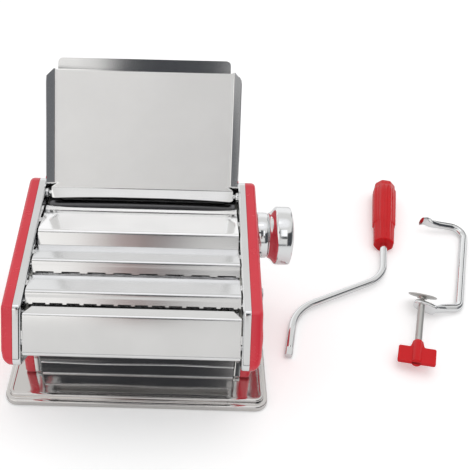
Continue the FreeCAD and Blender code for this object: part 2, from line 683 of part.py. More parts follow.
def clamp_parts():
    """The clamp's frame, its screw with the wing handle, and the pressure pad."""
    along = V(0, 1, 0)
    screw = Part.makeCylinder(SCREW_RADIUS, SCREW_LENGTH + SCREW_TOP, V(0, -SCREW_LENGTH, 0), along)
    neck = Part.makeCylinder(NECK_RADIUS, NECK_END - SCREW_TOP + 1, V(0, SCREW_TOP - 1, 0), along)
    screw = screw.fuse(neck)
    low, high = WING_LOW, WING_LOW + WING_LENGTH
    tip = high + WING_NECK
    wing = [(-WING_HALF, low, 2.0), (WING_HALF, low, 2.0), (WING_HALF, high, 2.0), (5.5, high, 0),
            (4.2, tip, 0), (-4.2, tip, 0), (-5.5, high, 0), (-WING_HALF, high, 2.0)]
    handle = prism(wing, plan_view(-WING_THICK / 2), V(0, 0, WING_THICK))
    boss = Part.makeBox(8.4, tip - low, 8.4, V(-4.2, low, -4.2))
    play = RUNNING_FIT / 2
    bore_from = V(0, -SCREW_LENGTH - play, 0)
    bore = Part.makeCylinder(SCREW_RADIUS + play, tip + SCREW_LENGTH + play, bore_from, along)
    handle = handle.fuse(boss).cut(bore)
    handle.rotate(V(0, 0, 0), along, WING_ROLL)
    step, whole = PAD_THICK
    profile = [(0, PAD_HUB), (step, PAD_HUB), (step, PAD_RADIUS), (whole, PAD_RADIUS)]
    pad = faceted_roller(profile, PAD_SIDES, 0, 0)
    pad.rotate(V(0, 0, 0), V(0, 0, 1), 90)
    pad.rotate(V(0, 0, 0), V(1, 0, 0), PAD_TILT)
    pad.translate(V(0, PAD_Y, 0))
    shapes = {"clamp_frame": clamp_frame(), "clamp_screw": screw, "clamp_wing": handle, "clamp_pad": pad}
    for shape in shapes.values():
        shape.Placement = clamp_placement().multiply(shape.Placement)
    return shapes


def base_parts():
    """Tray, four rubber feet as one group, and the tie rods between the frames."""
    feet = [Part.makeCylinder(FOOT_RADIUS, BASE_Z - TRAY_THICK, V(x, y, 0))
            for x in (-FOOT_X, FOOT_X) for y in (-FOOT_Y, FOOT_Y)]
    shapes = {"base_tray": base_tray(), "rubber_feet": Part.makeCompound(feet)}
    for name, (y, z) in ROD_AXES.items():
        shapes["tie_rod_" + name] = cylinder_x(ROD_RADIUS, -INNER_X, INNER_X, y, z)
    return shapes


def build():
    shapes = base_parts()
    frame = side_frame()
    shapes.update({"frame_right": frame, "frame_left": mirrored(frame)})
    shapes.update({"cover_right": side_cover(True), "cover_left": mirrored(side_cover(False))})
    shapes["roller_bearings"] = roller_bearings()
    shapes.update(guide_plates())
    shapes.update(chutes())
    shapes.update(scrapers())
    shapes.update(smooth_rollers())
    for name in CUTTERS:
        shapes.update(cutter_parts(name))
    shapes.update(carriers())
    shapes.update({"gap_cam": gap_cam(), "index_collar": index_collar(), "feed_tray": feed_tray()})
    shapes.update(knob_parts())
    shapes.update(crank_parts())
    shapes.update(clamp_parts())
    return shapes


for node, shape in build().items():
    shape = shape.Solids[0] if len(shape.Solids) == 1 else shape
    shape.exportStep("parts/" + node + ".step")
    print(node, shape.ShapeType, len(shape.Solids), shape.isValid(), round(shape.Volume))
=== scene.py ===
import math

import bpy
import bmesh
import numpy as np
from mathutils import Matrix, Vector


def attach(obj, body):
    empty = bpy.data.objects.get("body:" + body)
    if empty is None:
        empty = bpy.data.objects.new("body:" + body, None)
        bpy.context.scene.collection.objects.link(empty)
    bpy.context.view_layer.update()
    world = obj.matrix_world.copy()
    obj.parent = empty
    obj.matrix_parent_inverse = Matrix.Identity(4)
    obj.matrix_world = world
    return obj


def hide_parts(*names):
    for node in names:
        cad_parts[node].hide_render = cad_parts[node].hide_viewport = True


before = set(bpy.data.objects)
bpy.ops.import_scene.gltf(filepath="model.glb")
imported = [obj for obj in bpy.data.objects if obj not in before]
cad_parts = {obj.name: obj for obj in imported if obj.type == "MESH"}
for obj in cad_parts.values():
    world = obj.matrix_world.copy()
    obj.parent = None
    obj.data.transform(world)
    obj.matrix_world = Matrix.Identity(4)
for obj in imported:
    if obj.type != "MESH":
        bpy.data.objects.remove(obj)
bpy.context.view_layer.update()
scene = bpy.context.scene

# The viewpoint: a camera above the front of the machine, a little right of its middle,
# looking 40 degrees down. The picture's optical axis lies left of its centre, hence the shift.
CAMERA_AT = (0.0349, -0.3960, 0.4570)
CAMERA_PITCH = math.radians(40.05)
CAMERA_YAW = math.radians(-0.48)
CAMERA_ROLL = math.radians(1.18)
SENSOR = 36.0
FOCAL_IN_FRAMES = 700.0 / 470.0
SHIFT = 0.116
NEAREST = 0.01
FARTHEST = 50.0

lens = bpy.data.cameras.new("camera")
lens.sensor_width = SENSOR
lens.lens = SENSOR * FOCAL_IN_FRAMES
lens.shift_x = SHIFT
lens.clip_start = NEAREST
lens.clip_end = FARTHEST
camera = bpy.data.objects.new("camera", lens)
scene.collection.objects.link(camera)
scene.camera = camera
ahead = Vector((math.sin(CAMERA_YAW) * math.cos(CAMERA_PITCH),
                math.cos(CAMERA_YAW) * math.cos(CAMERA_PITCH),
                -math.sin(CAMERA_PITCH)))
level = Vector((math.cos(CAMERA_YAW), -math.sin(CAMERA_YAW), 0.0))
upright = level.cross(ahead)
right = level * math.cos(CAMERA_ROLL) + upright * math.sin(CAMERA_ROLL)
top = upright * math.cos(CAMERA_ROLL) - level * math.sin(CAMERA_ROLL)
facing = Matrix((right, top, -ahead)).transposed().to_4x4()
camera.matrix_world = Matrix.Translation(CAMERA_AT) @ facing
scene.view_settings.view_transform = "Standard"


# The studio: a white sweep in a pale room, which the bright metal mirrors. The room has a
# light wall, dim corners, a dark stand with a shelf, a box and a counter, a window, a post
# behind, and a lamp in its ceiling.
class Wire:
    """One socket in a node tree; arithmetic on it adds Math nodes."""

    def __init__(self, tree, socket=None):
        self.tree = tree
        self.socket = socket

    def node(self, kind, settings=None, sockets=None, out=0):
        """Adds a node with its settings and the values or links of its sockets."""
        made = self.tree.nodes.new(kind)
        for name, value in (settings or {}).items():
            setattr(made, name, value)
        for name, value in (sockets or {}).items():
            if isinstance(value, Wire):
                self.tree.links.new(value.socket, made.inputs[name])
            else:
                made.inputs[name].default_value = value
        return Wire(self.tree, made.outputs[out] if made.outputs else None)

    def beside(self, out):
        """Another output of the same node."""
        return Wire(self.tree, self.socket.node.outputs[out])

    def math(self, operation, first, second):
        return self.node("ShaderNodeMath", {"operation": operation}, {0: first, 1: second})

    def __add__(self, other):
        return self.math("ADD", self, other)

    def __radd__(self, other):
        return self.math("ADD", other, self)

    def __sub__(self, other):
        return self.math("SUBTRACT", self, other)

    def __rsub__(self, other):
        return self.math("SUBTRACT", other, self)

    def __mul__(self, other):
        return self.math("MULTIPLY", self, other)

    def __rmul__(self, other):
        return self.math("MULTIPLY", other, self)

    def rise(self, low, high):
        """0 below low, 1 above high, smooth between; falling where low is above high."""
        return self.node("ShaderNodeMapRange", {"interpolation_type": "SMOOTHSTEP"},
                         {"Value": self, "From Min": low, "From Max": high})

    def within(self, low, high, soft):
        """1 between low and high, fading over soft to both sides of each."""
        return self.rise(low - soft, low + soft) * self.rise(high + soft, high - soft)

    def blend(self, plain, other):
        """Colour mix of two colours by this mask."""
        return self.node("ShaderNodeMix", {"data_type": "RGBA"},
                         {0: self, 6: plain, 7: other}, out=2)


WHITE = (1.0, 1.0, 1.0, 1.0)
ROOM_PALE = (0.77, 0.765, 0.755, 1.0)
ROOM_DIM = (0.16, 0.165, 0.175, 1.0)
ROOM_FILL = (0.78, 0.78, 0.78, 1.0)
WALL_LIGHT = (1.08, 1.07, 1.05, 1.0)
WINDOW_LIGHT = (1.3, 1.3, 1.32, 1.0)
CEILING_LIGHT = (1.0, 1.0, 1.015, 1.0)
CEILING_LAMP = (1.3, 1.3, 1.32, 1.0)
STAND_DARK = (0.06, 0.063, 0.07, 1.0)
STAND_BROWN = (0.25, 0.10, 0.085, 1.0)
DIM_LEFT_SHARE = 0.6
SKIRTING_SHARE = 0.8
STAND_STEP = 0.09
STEP_SPAN = (0.50, 0.64)

# Where each mirrored thing stands, as spans of the direction: an axis with the places of
# none and full, or with a low edge, a high edge and their softness.
IN_FRONT = ("y", 0.05, -0.2)
BELOW_DIM = ("z", 0.75, 0.5)
THINGS = {
    "left_wall": (IN_FRONT, ("x", -0.11, -0.16), ("z", 0.365, 0.84, 0.02)),
    "rear_low": (("y", 0.2, 0.6), ("z", 0.75, 0.45)),
    "dim_right": (("x", 0.78, 0.93), BELOW_DIM),
    "dim_left": (("x", -0.80, -0.95), BELOW_DIM),
    "skirting": (IN_FRONT, ("x", 0.17, 0.15), ("z", 0.15, 0.07)),
    "stand": (IN_FRONT, ("z", 0.335, 0.415), ("z", 0.91, 0.88), ("x", -0.135, -0.08),
              ("stepped_x", 0.04, -0.06)),
    "brown": (("z", 0.60, 0.54), ("x", -0.035, -0.08)),
    "shelf": (IN_FRONT, ("x", -0.30, 0.07, 0.02), ("z", 0.72, 0.82, 0.005)),
    "box": (IN_FRONT, ("x", 0.095, 0.175, 0.005), ("z", 0.45, 0.59, 0.01)),
    "counter": (IN_FRONT, ("x", 0.19, 0.80, 0.02), ("z", 0.78, 0.72)),
    "rear_post": (("y", 0.3, 0.4), ("x", 0.50, 0.68, 0.02), ("z", 0.22, 0.60, 0.03)),
    "window": (IN_FRONT, ("x", 0.088, 0.175, 0.005), ("z", 0.61, 0.88, 0.012)),
    "ceiling": (("z", 0.90, 0.985),),
    "lamp": (("y", -0.045, 0.12, 0.01), ("z", 0.89, 0.92), ("x", -0.4, 0.10, 0.01)),
}

world = bpy.data.worlds.new("studio")
scene.world = world
world.use_nodes = True
world.node_tree.nodes.clear()
sky = Wire(world.node_tree)
way = sky.node("ShaderNodeTexCoord", out="Generated")
x_way = sky.node("ShaderNodeSeparateXYZ", {}, {0: way})
ways = {"x": x_way, "y": x_way.beside("Y"), "z": x_way.beside("Z")}
ways["stepped_x"] = x_way - ways["z"].rise(*STEP_SPAN) * STAND_STEP
masks = {}
for thing, spans in THINGS.items():
    mask = 1.0
    for axis, *span in spans:
        mask = mask * (ways[axis].within(*span) if len(span) == 3 else ways[axis].rise(*span))
    masks[thing] = mask
room = masks["rear_low"].blend(masks["left_wall"].blend(ROOM_PALE, WALL_LIGHT), WHITE)
dim = masks["dim_right"] + masks["dim_left"] * DIM_LEFT_SHARE + masks["skirting"] * SKIRTING_SHARE
room = dim.blend(room, ROOM_DIM)
room = masks["stand"].blend(room, masks["brown"].blend(STAND_DARK, STAND_BROWN))
dark = sky.math("MAXIMUM", masks["shelf"], masks["box"])
dark = sky.math("MAXIMUM", dark, masks["counter"] + masks["rear_post"])
room = masks["window"].blend(dark.blend(room, STAND_DARK), WINDOW_LIGHT)
room = masks["lamp"].blend(masks["ceiling"].blend(room, CEILING_LIGHT), CEILING_LAMP)
ray = sky.node("ShaderNodeLightPath", out="Is Camera Ray")
seen = ray.beside("Is Glossy Ray").blend(ROOM_FILL, room)
background = sky.node("ShaderNodeBackground", {},
                      {"Color": ray.blend(seen, WHITE), "Strength": 1.0})
sky.node("ShaderNodeOutputWorld", {}, {"Surface": background})


def soft_light(name, place, target, width, depth, power):
    """Broad lamp aimed at a target, left out of what the metal mirrors."""
    light = bpy.data.lights.new(name, "AREA")
    light.shape = "RECTANGLE"
    light.size = width
    light.size_y = depth
    light.energy = power
    made = bpy.data.objects.new(name, light)
    made.location = place
    made.rotation_euler = (Vector(target) - Vector(place)).to_track_quat("-Z", "Y").to_euler()
    made.visible_glossy = False
    scene.collection.objects.link(made)


soft_light("overhead_light", place=(0.25, -0.05, 1.5), target=(0.1, 0.0, 0.0),
           width=1.1, depth=0.8, power=3.4)
soft_light("left_light", place=(-1.2, -0.7, 1.1), target=(0.0, 0.0, 0.1),
           width=0.7, depth=0.7, power=1.2)


def material(name, sockets_of):
    """Material whose shader's sockets come from sockets_of(wire)."""
    made = bpy.data.materials.new(name)
    made.use_nodes = True
    made.node_tree.nodes.clear()
    wire = Wire(made.node_tree)
    shader = wire.node("ShaderNodeBsdfPrincipled", {}, sockets_of(wire))
    wire.node("ShaderNodeOutputMaterial", {}, {"Surface": shader})
    return made


PAPER = (0.80, 0.80, 0.80, 1.0)
PAPER_GLOW = (0.20, 0.20, 0.20, 1.0)
NO_GLOW = (0.0, 0.0, 0.0, 1.0)
PAPER_IN_METAL = 0.2


def sweep_sockets(wire):
    """White paper that shows full white to the camera, and a little of that to the metal."""
    seen_ray = wire.node("ShaderNodeLightPath", out="Is Camera Ray")
    direct = wire.math("MAXIMUM", seen_ray, seen_ray.beside("Is Glossy Ray") * PAPER_IN_METAL)
    return {"Base Color": direct.blend(PAPER, WHITE), "Roughness": 0.9,
            "Specular IOR Level": 0.1, "Emission Color": direct.blend(NO_GLOW, PAPER_GLOW),
            "Emission Strength": 1.0}


MM = 0.001
CREASE = 0.6


def grid_piece(name, points, faces, sharp=CREASE):
    """Object from points in millimetres; edges sharper than sharp stay crisp."""
    mesh = bpy.data.meshes.new(name)
    mesh.from_pydata((np.asarray(points, float) * MM).tolist(), [], faces)
    shaping = bmesh.new()
    shaping.from_mesh(mesh)
    bmesh.ops.recalc_face_normals(shaping, faces=shaping.faces)
    shaping.to_mesh(mesh)
    shaping.free()
    mesh.shade_smooth()
    mesh.set_sharp_from_angle(angle=sharp)
    made = bpy.data.objects.new(name, mesh)
    scene.collection.objects.link(made)
    return made


SQUARE = ((-1, -1), (1, -1), (1, 1), (-1, 1))
SWEEP_HALF = 4000.0
sweep = grid_piece("sweep", [(x * SWEEP_HALF, y * SWEEP_HALF, 0) for x, y in SQUARE],
                   [(0, 1, 2, 3)])
sweep.data.materials.append(material("sweep_paper", sweep_sockets))


# Base tray: one pressed stainless sheet with a turned-down skirt, a ledge, a rounded bead
# and a flat floor, standing on four rubber feet under its corners.
TIGHTEST = 0.15
STRAIGHT = 1e-6


def crossed(first, second):
    """Above 0 where second turns left from first."""
    return first[0] * second[1] - first[1] * second[0]


def rounded(corners, inset=0.0, closed=True, steps=8):
    """Points along corners (a, b, radius), moved to the left by inset, which shrinks a ring."""
    points = np.array([corner[:2] for corner in corners], float)
    count = len(points)
    turned_area = sum(crossed(points[i - 1], points[i]) for i in range(count))
    side = -1.0 if closed and turned_area < 0 else 1.0
    runs = [(points[(i + 1) % count] - points[i]) for i in range(count)]
    runs = [run / np.linalg.norm(run) for run in runs]
    found = []
    for i, (a, b, radius) in enumerate(corners):
        into = runs[i - 1] if closed or i > 0 else runs[0]
        onward = runs[i] if closed or i < count - 1 else runs[count - 2]
        normal_in = side * np.array([-into[1], into[0]])
        normal_on = side * np.array([-onward[1], onward[0]])
        mitre = normal_in + normal_on
        corner = points[i] + mitre * (inset / mitre.dot(normal_in))
        bend = side * crossed(into, onward)
        if radius == 0 or abs(bend) < STRAIGHT or (not closed and i in (0, count - 1)):
            found.append(corner)
            continue
        radius = max(radius - inset if bend > 0 else radius + inset, TIGHTEST)
        half = math.acos(np.clip(-into.dot(onward), -1, 1)) / 2
        inner = (onward - into) / np.linalg.norm(onward - into)
        centre = corner + inner * (radius / math.sin(half))
        start = corner - into * (radius / math.tan(half)) - centre
        sweep_angle = (math.pi - 2 * half) * (1 if crossed(into, onward) > 0 else -1)
        for step in range(steps + 1):
            angle = sweep_angle * step / steps
            cos, sin = math.cos(angle), math.sin(angle)
            found.append(centre + np.array([cos * start[0] - sin * start[1],
                                            sin * start[0] + cos * start[1]]))
    return np.array(found)


def loft(name, rings, sharp=CREASE):
    """Skin over closed rings of equal length, with a face at each end."""
    rings = np.asarray(rings, float)
    layers, around = rings.shape[:2]
    faces = [(layer * around + k, layer * around + (k + 1) % around,
              (layer + 1) * around + (k + 1) % around, (layer + 1) * around + k)
             for layer in range(layers - 1) for k in range(around)]
    faces.append(tuple(range(around)))
    faces.append(tuple((layers - 1) * around + k for k in range(around)))
    return grid_piece(name, rings.reshape(-1, 3), faces, sharp)


def dress(piece, finish, body, slot, *nodes):
    """Gives a piece its material and its body, and hides the nodes it stands for; slot is not
    used.
    """
    piece.data.materials.append(finish)
    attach(piece, body)
    if nodes:
        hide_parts(*nodes)
    return piece


def coat_nodes(finish, *nodes):
    """Puts a material on solids that stay as they are."""
    for node in nodes:
        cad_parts[node].data.materials.clear()
        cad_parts[node].data.materials.append(finish)


PATCH_TONE = 0.02


def metal(name, colour, roughness, grain, grain_depth, wave, wave_scale, smudge=0.04,
          metallic=1.0, grain_detail=2.0):
    """Bare or plated metal: faint tone patches, smudged gloss, drawn grain and slow waves.

    grain is the grain's scale along each axis; grain_depth and wave are in millimetres.
    """
    light = tuple(min(1.0, tone * (1.0 + PATCH_TONE)) for tone in colour) + (1.0,)
    deep = tuple(tone * (1.0 - PATCH_TONE) for tone in colour) + (1.0,)

    def sockets(wire):
        place = wire.node("ShaderNodeTexCoord", out="Object")
        stretched = wire.node("ShaderNodeMapping", {}, {"Vector": place, "Scale": grain})

        def noise(where, scale, detail):
            return wire.node("ShaderNodeTexNoise", {},
                             {"Vector": where, "Scale": scale, "Detail": detail})

        patches = noise(place, scale=35.0, detail=3.0)
        wipes = noise(place, scale=60.0, detail=5.0)
        drawn = noise(stretched, scale=1.0, detail=grain_detail)
        slow = noise(place, scale=wave_scale, detail=0.0)
        waved = wire.node("ShaderNodeBump", {},
                          {"Strength": 1.0, "Distance": wave * MM, "Height": slow})
        normal = wire.node("ShaderNodeBump", {}, {"Strength": 1.0, "Distance": grain_depth * MM,
                                                  "Height": drawn, "Normal": waved})
        return {"Base Color": patches.rise(0.3, 0.7).blend(deep, light), "Metallic": metallic,
                "Roughness": roughness + (wipes - 0.5) * smudge, "Normal": normal}

    return material(name, sockets)


TRAY_HALF_X = 103.2
TRAY_HALF_Y = 65.0
TRAY_ROUND = 10.0
TRAY_CORNERS = [(x * TRAY_HALF_X, y * TRAY_HALF_Y, TRAY_ROUND) for x, y in SQUARE]
TRAY_OUTSIDE = [(0.0, 0.8, 0), (0.0, 5.6, 1.4), (3.6, 5.6, 0.7), (3.6, 9.6, 1.3), (6.4, 9.6, 0.4),
                (6.7, 9.0, 0.2), (9.4, 9.0, 0), (11.0, 9.0, 0)]
TRAY_SHEET = 0.8
tray_steel = metal("tray_steel", (0.72, 0.70, 0.685), roughness=0.10,
                   grain=(40.0, 900.0, 900.0), grain_depth=0.004, wave=0.35, wave_scale=9.0)


def ring_at(corners, inset, height):
    """Level ring of rounded corners, drawn in by inset."""
    flat = rounded(corners, inset)
    return np.column_stack([flat, np.full(len(flat), height)])


outside = rounded(TRAY_OUTSIDE, closed=False, steps=5)
underside = rounded(TRAY_OUTSIDE, inset=-TRAY_SHEET, closed=False, steps=5)
tray = loft("base_tray_pressing", [ring_at(TRAY_CORNERS, *spot) for spot in outside[::-1]]
            + [ring_at(TRAY_CORNERS, *spot) for spot in underside])
dress(tray, tray_steel, "machine", "stainless_sheet", "base_tray")


def rubber_sockets(wire):
    """Matt black rubber with a fine grit."""
    place = wire.node("ShaderNodeTexCoord", out="Object")
    grit = wire.node("ShaderNodeTexNoise", {}, {"Vector": place, "Scale": 900.0, "Detail": 2.0})
    bumps = wire.node("ShaderNodeBump", {}, {"Strength": 0.4, "Distance": 0.0001, "Height": grit})
    return {"Base Color": grit.blend((0.03, 0.03, 0.032, 1.0), (0.055, 0.055, 0.058, 1.0)),
            "Roughness": 0.75, "Normal": bumps}


coat_nodes(material("foot_rubber", rubber_sockets), "rubber_feet")

# Side frames: chromed steel pressings, each a flat plate with a flange turned outwards
# all round; the flange's bright edge shows beside the folded sheets.
NOSE = (-88.1, 75.6)
WAIST = (-36.8, 42.0)
SIDE_CORNERS = [(*NOSE, 6.0), (-82.0, 85.3, 0), (-79.5, 89.2, 0), (-77.0, 93.2, 0),
                (-65.5, 111.4, 5.0), (60.0, 131.2, 9.0), (90.0, 92.0, 14.0), (57.6, 9.0, 4.0),
                (-40.4, 9.0, 3.0), (*WAIST, 18.0), (-58.0, 55.9, 0)]
INNER_X = 76.0
RIM_X = 81.8
FRAME_PROFILE = [(3.4, 77.2), (2.6, 77.2), (1.5, 77.6), (1.2, 78.4), (1.2, RIM_X), (0.9, RIM_X),
                 (0.3, RIM_X), (0.0, 81.5), (0.0, 77.8), (0.15, 77.0), (0.6, 76.4),
                 (1.3, 76.05), (2.0, INNER_X), (3.4, INNER_X)]
chrome = metal("chrome_plate", (0.83, 0.84, 0.845), roughness=0.10,
               grain=(500.0, 500.0, 500.0), grain_depth=0.002, wave=0.12, wave_scale=20.0)


def side_loft(name, profile, way, shoulder=None):
    """Skin over the side's outline, drawn in and set along X as the profile says."""
    rings = []
    for inset, x in profile:
        flat = rounded(SIDE_CORNERS, inset)
        across = np.full(len(flat), x)
        if shoulder:
            across = shoulder(across, flat)
        rings.append(np.column_stack([way * across, flat]))
    return loft(name, rings)


SIDES = (("left", -1.0), ("right", 1.0))
for side_name, way in SIDES:
    pressing = side_loft("frame_pressing_" + side_name, FRAME_PROFILE, way)
    dress(pressing, chrome, "machine", "chrome_steel", "frame_" + side_name)

# Rest pins: short turned rivets with a round collar, set in the frames' inner faces; the
# feed tray's curved lip lies on them.
PIN_AT = (52.2, 121.3)
PIN_PROFILE = [(66.0, 1.0), (66.0, 1.9), (66.3, 2.3), (67.4, 2.4), (67.6, 2.1), (75.2, 2.1),
               (75.2, 2.7), (74.5, 2.8), (74.3, 3.2), (74.5, 3.7), (74.9, 3.9), (76.2, 3.9)]


def turned(name, profile, centre=(0.0, 0.0), sides=48, way=1.0, limit=None, sharp=CREASE):
    """Round piece along X from (x, radius) spots; limit(x, y, z) may reshape a ring."""
    angles = np.arange(sides) * 2 * math.pi / sides
    rings = []
    for x, radius in profile:
        reach_y = radius * np.cos(angles)
        reach_z = radius * np.sin(angles)
        if limit:
            reach_y, reach_z = limit(x, reach_y, reach_z)
        rings.append(np.column_stack([np.full(sides, way * x), centre[0] + reach_y,
                                      centre[1] + reach_z]))
    return loft(name, rings, sharp)


for side_name, way in SIDES:
    pin = turned("rest_pin_" + side_name, PIN_PROFILE, PIN_AT, sides=24, way=way)
    dress(pin, chrome, "machine", "chrome_steel")

# Side covers: glossy red mouldings that cap the frames, with rounded outer edges; the
# right one has a raised ring round each drive socket.
COVER_PROFILE = [(3.6, 88.0), (2.4, 88.0), (2.0, 87.6), (2.0, RIM_X), (1.7, RIM_X), (0.3, RIM_X),
                 (0.0, 82.1), (0.0, 86.6), (0.12, 87.5), (0.45, 88.3), (0.95, 88.95), (1.6, 89.5),
                 (2.4, 89.85), (3.4, 90.0), (5.0, 90.0), (8.0, 90.0), (12.5, 90.0)]
SHOULDER_REACH = 12.0
SHOULDER_END = 48.0
SHOULDER_FADE = 14.0
SHOULDER_DEPTH = 0.86
SOCKETS = {"smooth": (57.0, 102.0), "wide": (-35.9, 100.0), "narrow": (-65.4, 89.2)}
BOSS_PROFILE = [(89.2, 5.8), (90.3, 5.8), (90.5, 6.1), (90.5, 8.4), (90.35, 8.8), (90.0, 9.0),
                (89.2, 9.0)]
SCUFF_DULLS = 0.08
COAT_SHARE = 0.5


def moulded(name, deep, light, roughness, gloss):
    """Glossy moulded plastic: a slow drift of tone, fine scuffs and a trace of orange peel."""
    def sockets(wire):
        place = wire.node("ShaderNodeTexCoord", out="Object")

        def noise(scale, detail):
            return wire.node("ShaderNodeTexNoise", {},
                             {"Vector": place, "Scale": scale, "Detail": detail})

        tone = noise(scale=18.0, detail=3.0)
        scuff = noise(scale=140.0, detail=5.0)
        peel = noise(scale=300.0, detail=1.0)
        bumps = wire.node("ShaderNodeBump", {},
                          {"Strength": 0.2, "Distance": 0.00005, "Height": peel})
        return {"Base Color": tone.rise(0.3, 0.7).blend(deep, light),
                "Roughness": roughness + scuff.rise(0.5, 0.8) * SCUFF_DULLS,
                "Specular IOR Level": gloss, "Coat Weight": gloss * COAT_SHARE,
                "Coat Roughness": 0.05, "Normal": bumps}

    return material(name, sockets)


def nose_shoulder(across, flat):
    """Draws the outside in towards the lower edge of the nose, as a quarter of an ellipse."""
    run = np.subtract(WAIST, NOSE)
    run /= np.linalg.norm(run)
    offset = flat - np.array(NOSE)
    above = offset @ np.array([-run[1], run[0]])
    along = offset @ run
    fade = np.clip((SHOULDER_END - along) / SHOULDER_FADE, 0.0, 1.0)
    short = np.clip(1.0 - above / SHOULDER_REACH, 0.0, 1.0) * fade
    return RIM_X + (across - RIM_X) * np.sqrt(1.0 - SHOULDER_DEPTH * short ** 2)


red = moulded("red_moulding", deep=(0.64, 0.025, 0.045, 1.0), light=(0.70, 0.038, 0.058, 1.0),
              roughness=0.24, gloss=0.5)
for side_name, way in SIDES:
    moulding = side_loft("cover_moulding_" + side_name, COVER_PROFILE, way, nose_shoulder)
    dress(moulding, red, "machine", "red_plastic", "cover_" + side_name)
for socket_name, centre in SOCKETS.items():
    boss = turned("socket_ring_" + socket_name, BOSS_PROFILE, centre, sides=64)
    dress(boss, red, "machine", "red_plastic")

# Sheets between the frames: folded from polished stainless, they guide the dough over the
# rollers and close the front and the back, with tabs at their ends. A thin bead and a
# rolled hem cross the front apron. The guide plates' upward faces carry painted light and
# shade, and the front apron's darker steel is painted shade.
SHEET = 0.8
SHEETS = {
    "guide_plate_rear": [(41.2, 114.6, 0), (39.3, 117.6, 1.3), (36.4, 116.5, 3.0),
                         (4.9, 121.5, 2.6), (-1.3, 112.2, 0)],
    "guide_plate_middle": [(-2.2, 112.9, 0), (-22.9, 117.5, 2.6), (-25.6, 113.3, 20.0),
                           (-28.6, 109.4, 0)],
    "guide_plate_front": [(-31.5, 109.6, 0), (-51.2, 113.4, 2.6), (-53.6, 109.5, 20.0),
                          (-56.4, 105.5, 0)],
    "front_fascia": [(-58.9, 105.8, 0), (-66.8, 106.2, 2.0), (-82.8, 81.4, 2.5),
                     (-77.6, 76.4, 0)],
    "front_apron": [(-4.0, 82.0, 0), (-39.6, 46.0, 12.0), (-39.6, 9.0, 0)],
    "rear_chute": [(54.0, 9.0, 0), (54.0, 27.0, 8.0), (-2.6, 81.4, 0)],
    "rear_panel": [(75.6, 60.0, 0), (88.0, 92.2, 11.0), (60.6, 129.0, 3.0), (55.4, 128.2, 0)],
}
PLATE_HALF = 75.1
END_SHARES = (1.0, 0.98, 0.95, 0.91, 0.86, 0.8, 0.72, 0.6, 0.3)
END_STATIONS = sorted((np.outer((-1.0, 1.0), END_SHARES) * PLATE_HALF).ravel())
BACK_SWEEP = 3.0
BACK_SWEEP_FROM = 48.0
BACK_SWEEP_RUN = 27.0
BACK_LIP_Y = 37.0
BACK_LIP_DEEP = 3.0
MITRE_Y = -66.0
MITRE_Z = 104.0
MITRE_DEEP = 7.0
MITRE_CUT = 5.2
DRAWN = (25.0, 1500.0, 1500.0)
plate_steel = metal("plate_steel", (0.84, 0.84, 0.84), roughness=0.15, grain=DRAWN,
                    grain_depth=0.003, wave=0.25, wave_scale=10.0)
# Painted shade: the front apron is the same stainless as the plates, given a darker colour so that
# it looks shaded.
shaded_apron_steel = metal("shaded_apron_steel", (0.55, 0.55, 0.555), roughness=0.06,
                    grain=(6.0, 75.0, 75.0), grain_depth=0.35, wave=0.3, wave_scale=12.0,
                    grain_detail=0.5)


def folded_sheet(name, corners, stations=(-INNER_X, INNER_X), shape=None):
    """Sheet folded along corners seen from the side; shape(x, y, z) may trim or bow it."""
    runs = [np.subtract(b[:2], a[:2]) for a, b in zip(corners, corners[1:])]
    near = []
    for i, (a, b, radius) in enumerate(corners):
        if radius and crossed(runs[i - 1], runs[i]) > 0:
            radius += SHEET
        near.append((a, b, radius))
    inside = rounded(near, inset=SHEET, closed=False)
    section = np.vstack([rounded(near, closed=False), inside[::-1]])
    rings = []
    for x in stations:
        ring = np.column_stack([np.full(len(section), x), section])
        rings.append([shape(*spot) for spot in ring] if shape else ring)
    return loft(name, rings)


def swept_rear_edge(x, y, z):
    """The rear guide plate's back lip reaches further back near both ends."""
    reach = BACK_SWEEP * max(0.0, (abs(x) - BACK_SWEEP_FROM) / BACK_SWEEP_RUN) ** 2
    return x, y + reach * min(1.0, max(0.0, (y - BACK_LIP_Y) / BACK_LIP_DEEP)), z


def mitred_lip(x, y, z):
    """The fascia's top lip is cut back at its ends."""
    share = min(1.0, max(0.0, (y - MITRE_Y) / MITRE_DEEP)) if z > MITRE_Z else 0.0
    reach = PLATE_HALF - MITRE_CUT * share
    return min(reach, max(-reach, x)), y, z


# Notches in the lower lips of the two plates over the cutters: short teeth, given by their
# pitch and width, stand between them.
TEETH = {"guide_plate_middle": (18.8, 5.5), "guide_plate_front": (11.9, 2.6)}
MOST_TEETH = 8
NOTCH_DEPTH = 1.0
NOTCH_FLANK = 0.15
NOTCH_SLACK = 0.05
NOTCHED_HALF = PLATE_HALF - 1.0
LIP_EDGE_Y = 1.0
LIP_EDGE_Z = 0.2


def notch_stations(pitch, tooth):
    """Places along a sheet where its lower lip steps between notch and tooth."""
    places = {-PLATE_HALF, PLATE_HALF}
    for count in range(-MOST_TEETH, MOST_TEETH + 1):
        for edge in (-tooth / 2, tooth / 2):
            spot = count * pitch + edge
            if abs(spot) < NOTCHED_HALF:
                places |= {spot, spot + math.copysign(NOTCH_FLANK, edge)}
    return sorted(places)


def lip_notches(pitch, tooth, corners):
    """The lower lip's edge is cut back between short teeth, over the rings of the cutter."""
    edge_y, edge_z = corners[-1][:2]
    lift = np.subtract(corners[-2][:2], corners[-1][:2])
    lift = lift / np.linalg.norm(lift) * NOTCH_DEPTH

    def shape(x, y, z):
        off_tooth = abs((x + pitch / 2) % pitch - pitch / 2) > tooth / 2 + NOTCH_SLACK
        at_edge = y < edge_y + LIP_EDGE_Y and z < edge_z + LIP_EDGE_Z
        if off_tooth and at_edge and abs(x) < NOTCHED_HALF:
            return x, y + lift[0], z + lift[1]
        return x, y, z

    return shape


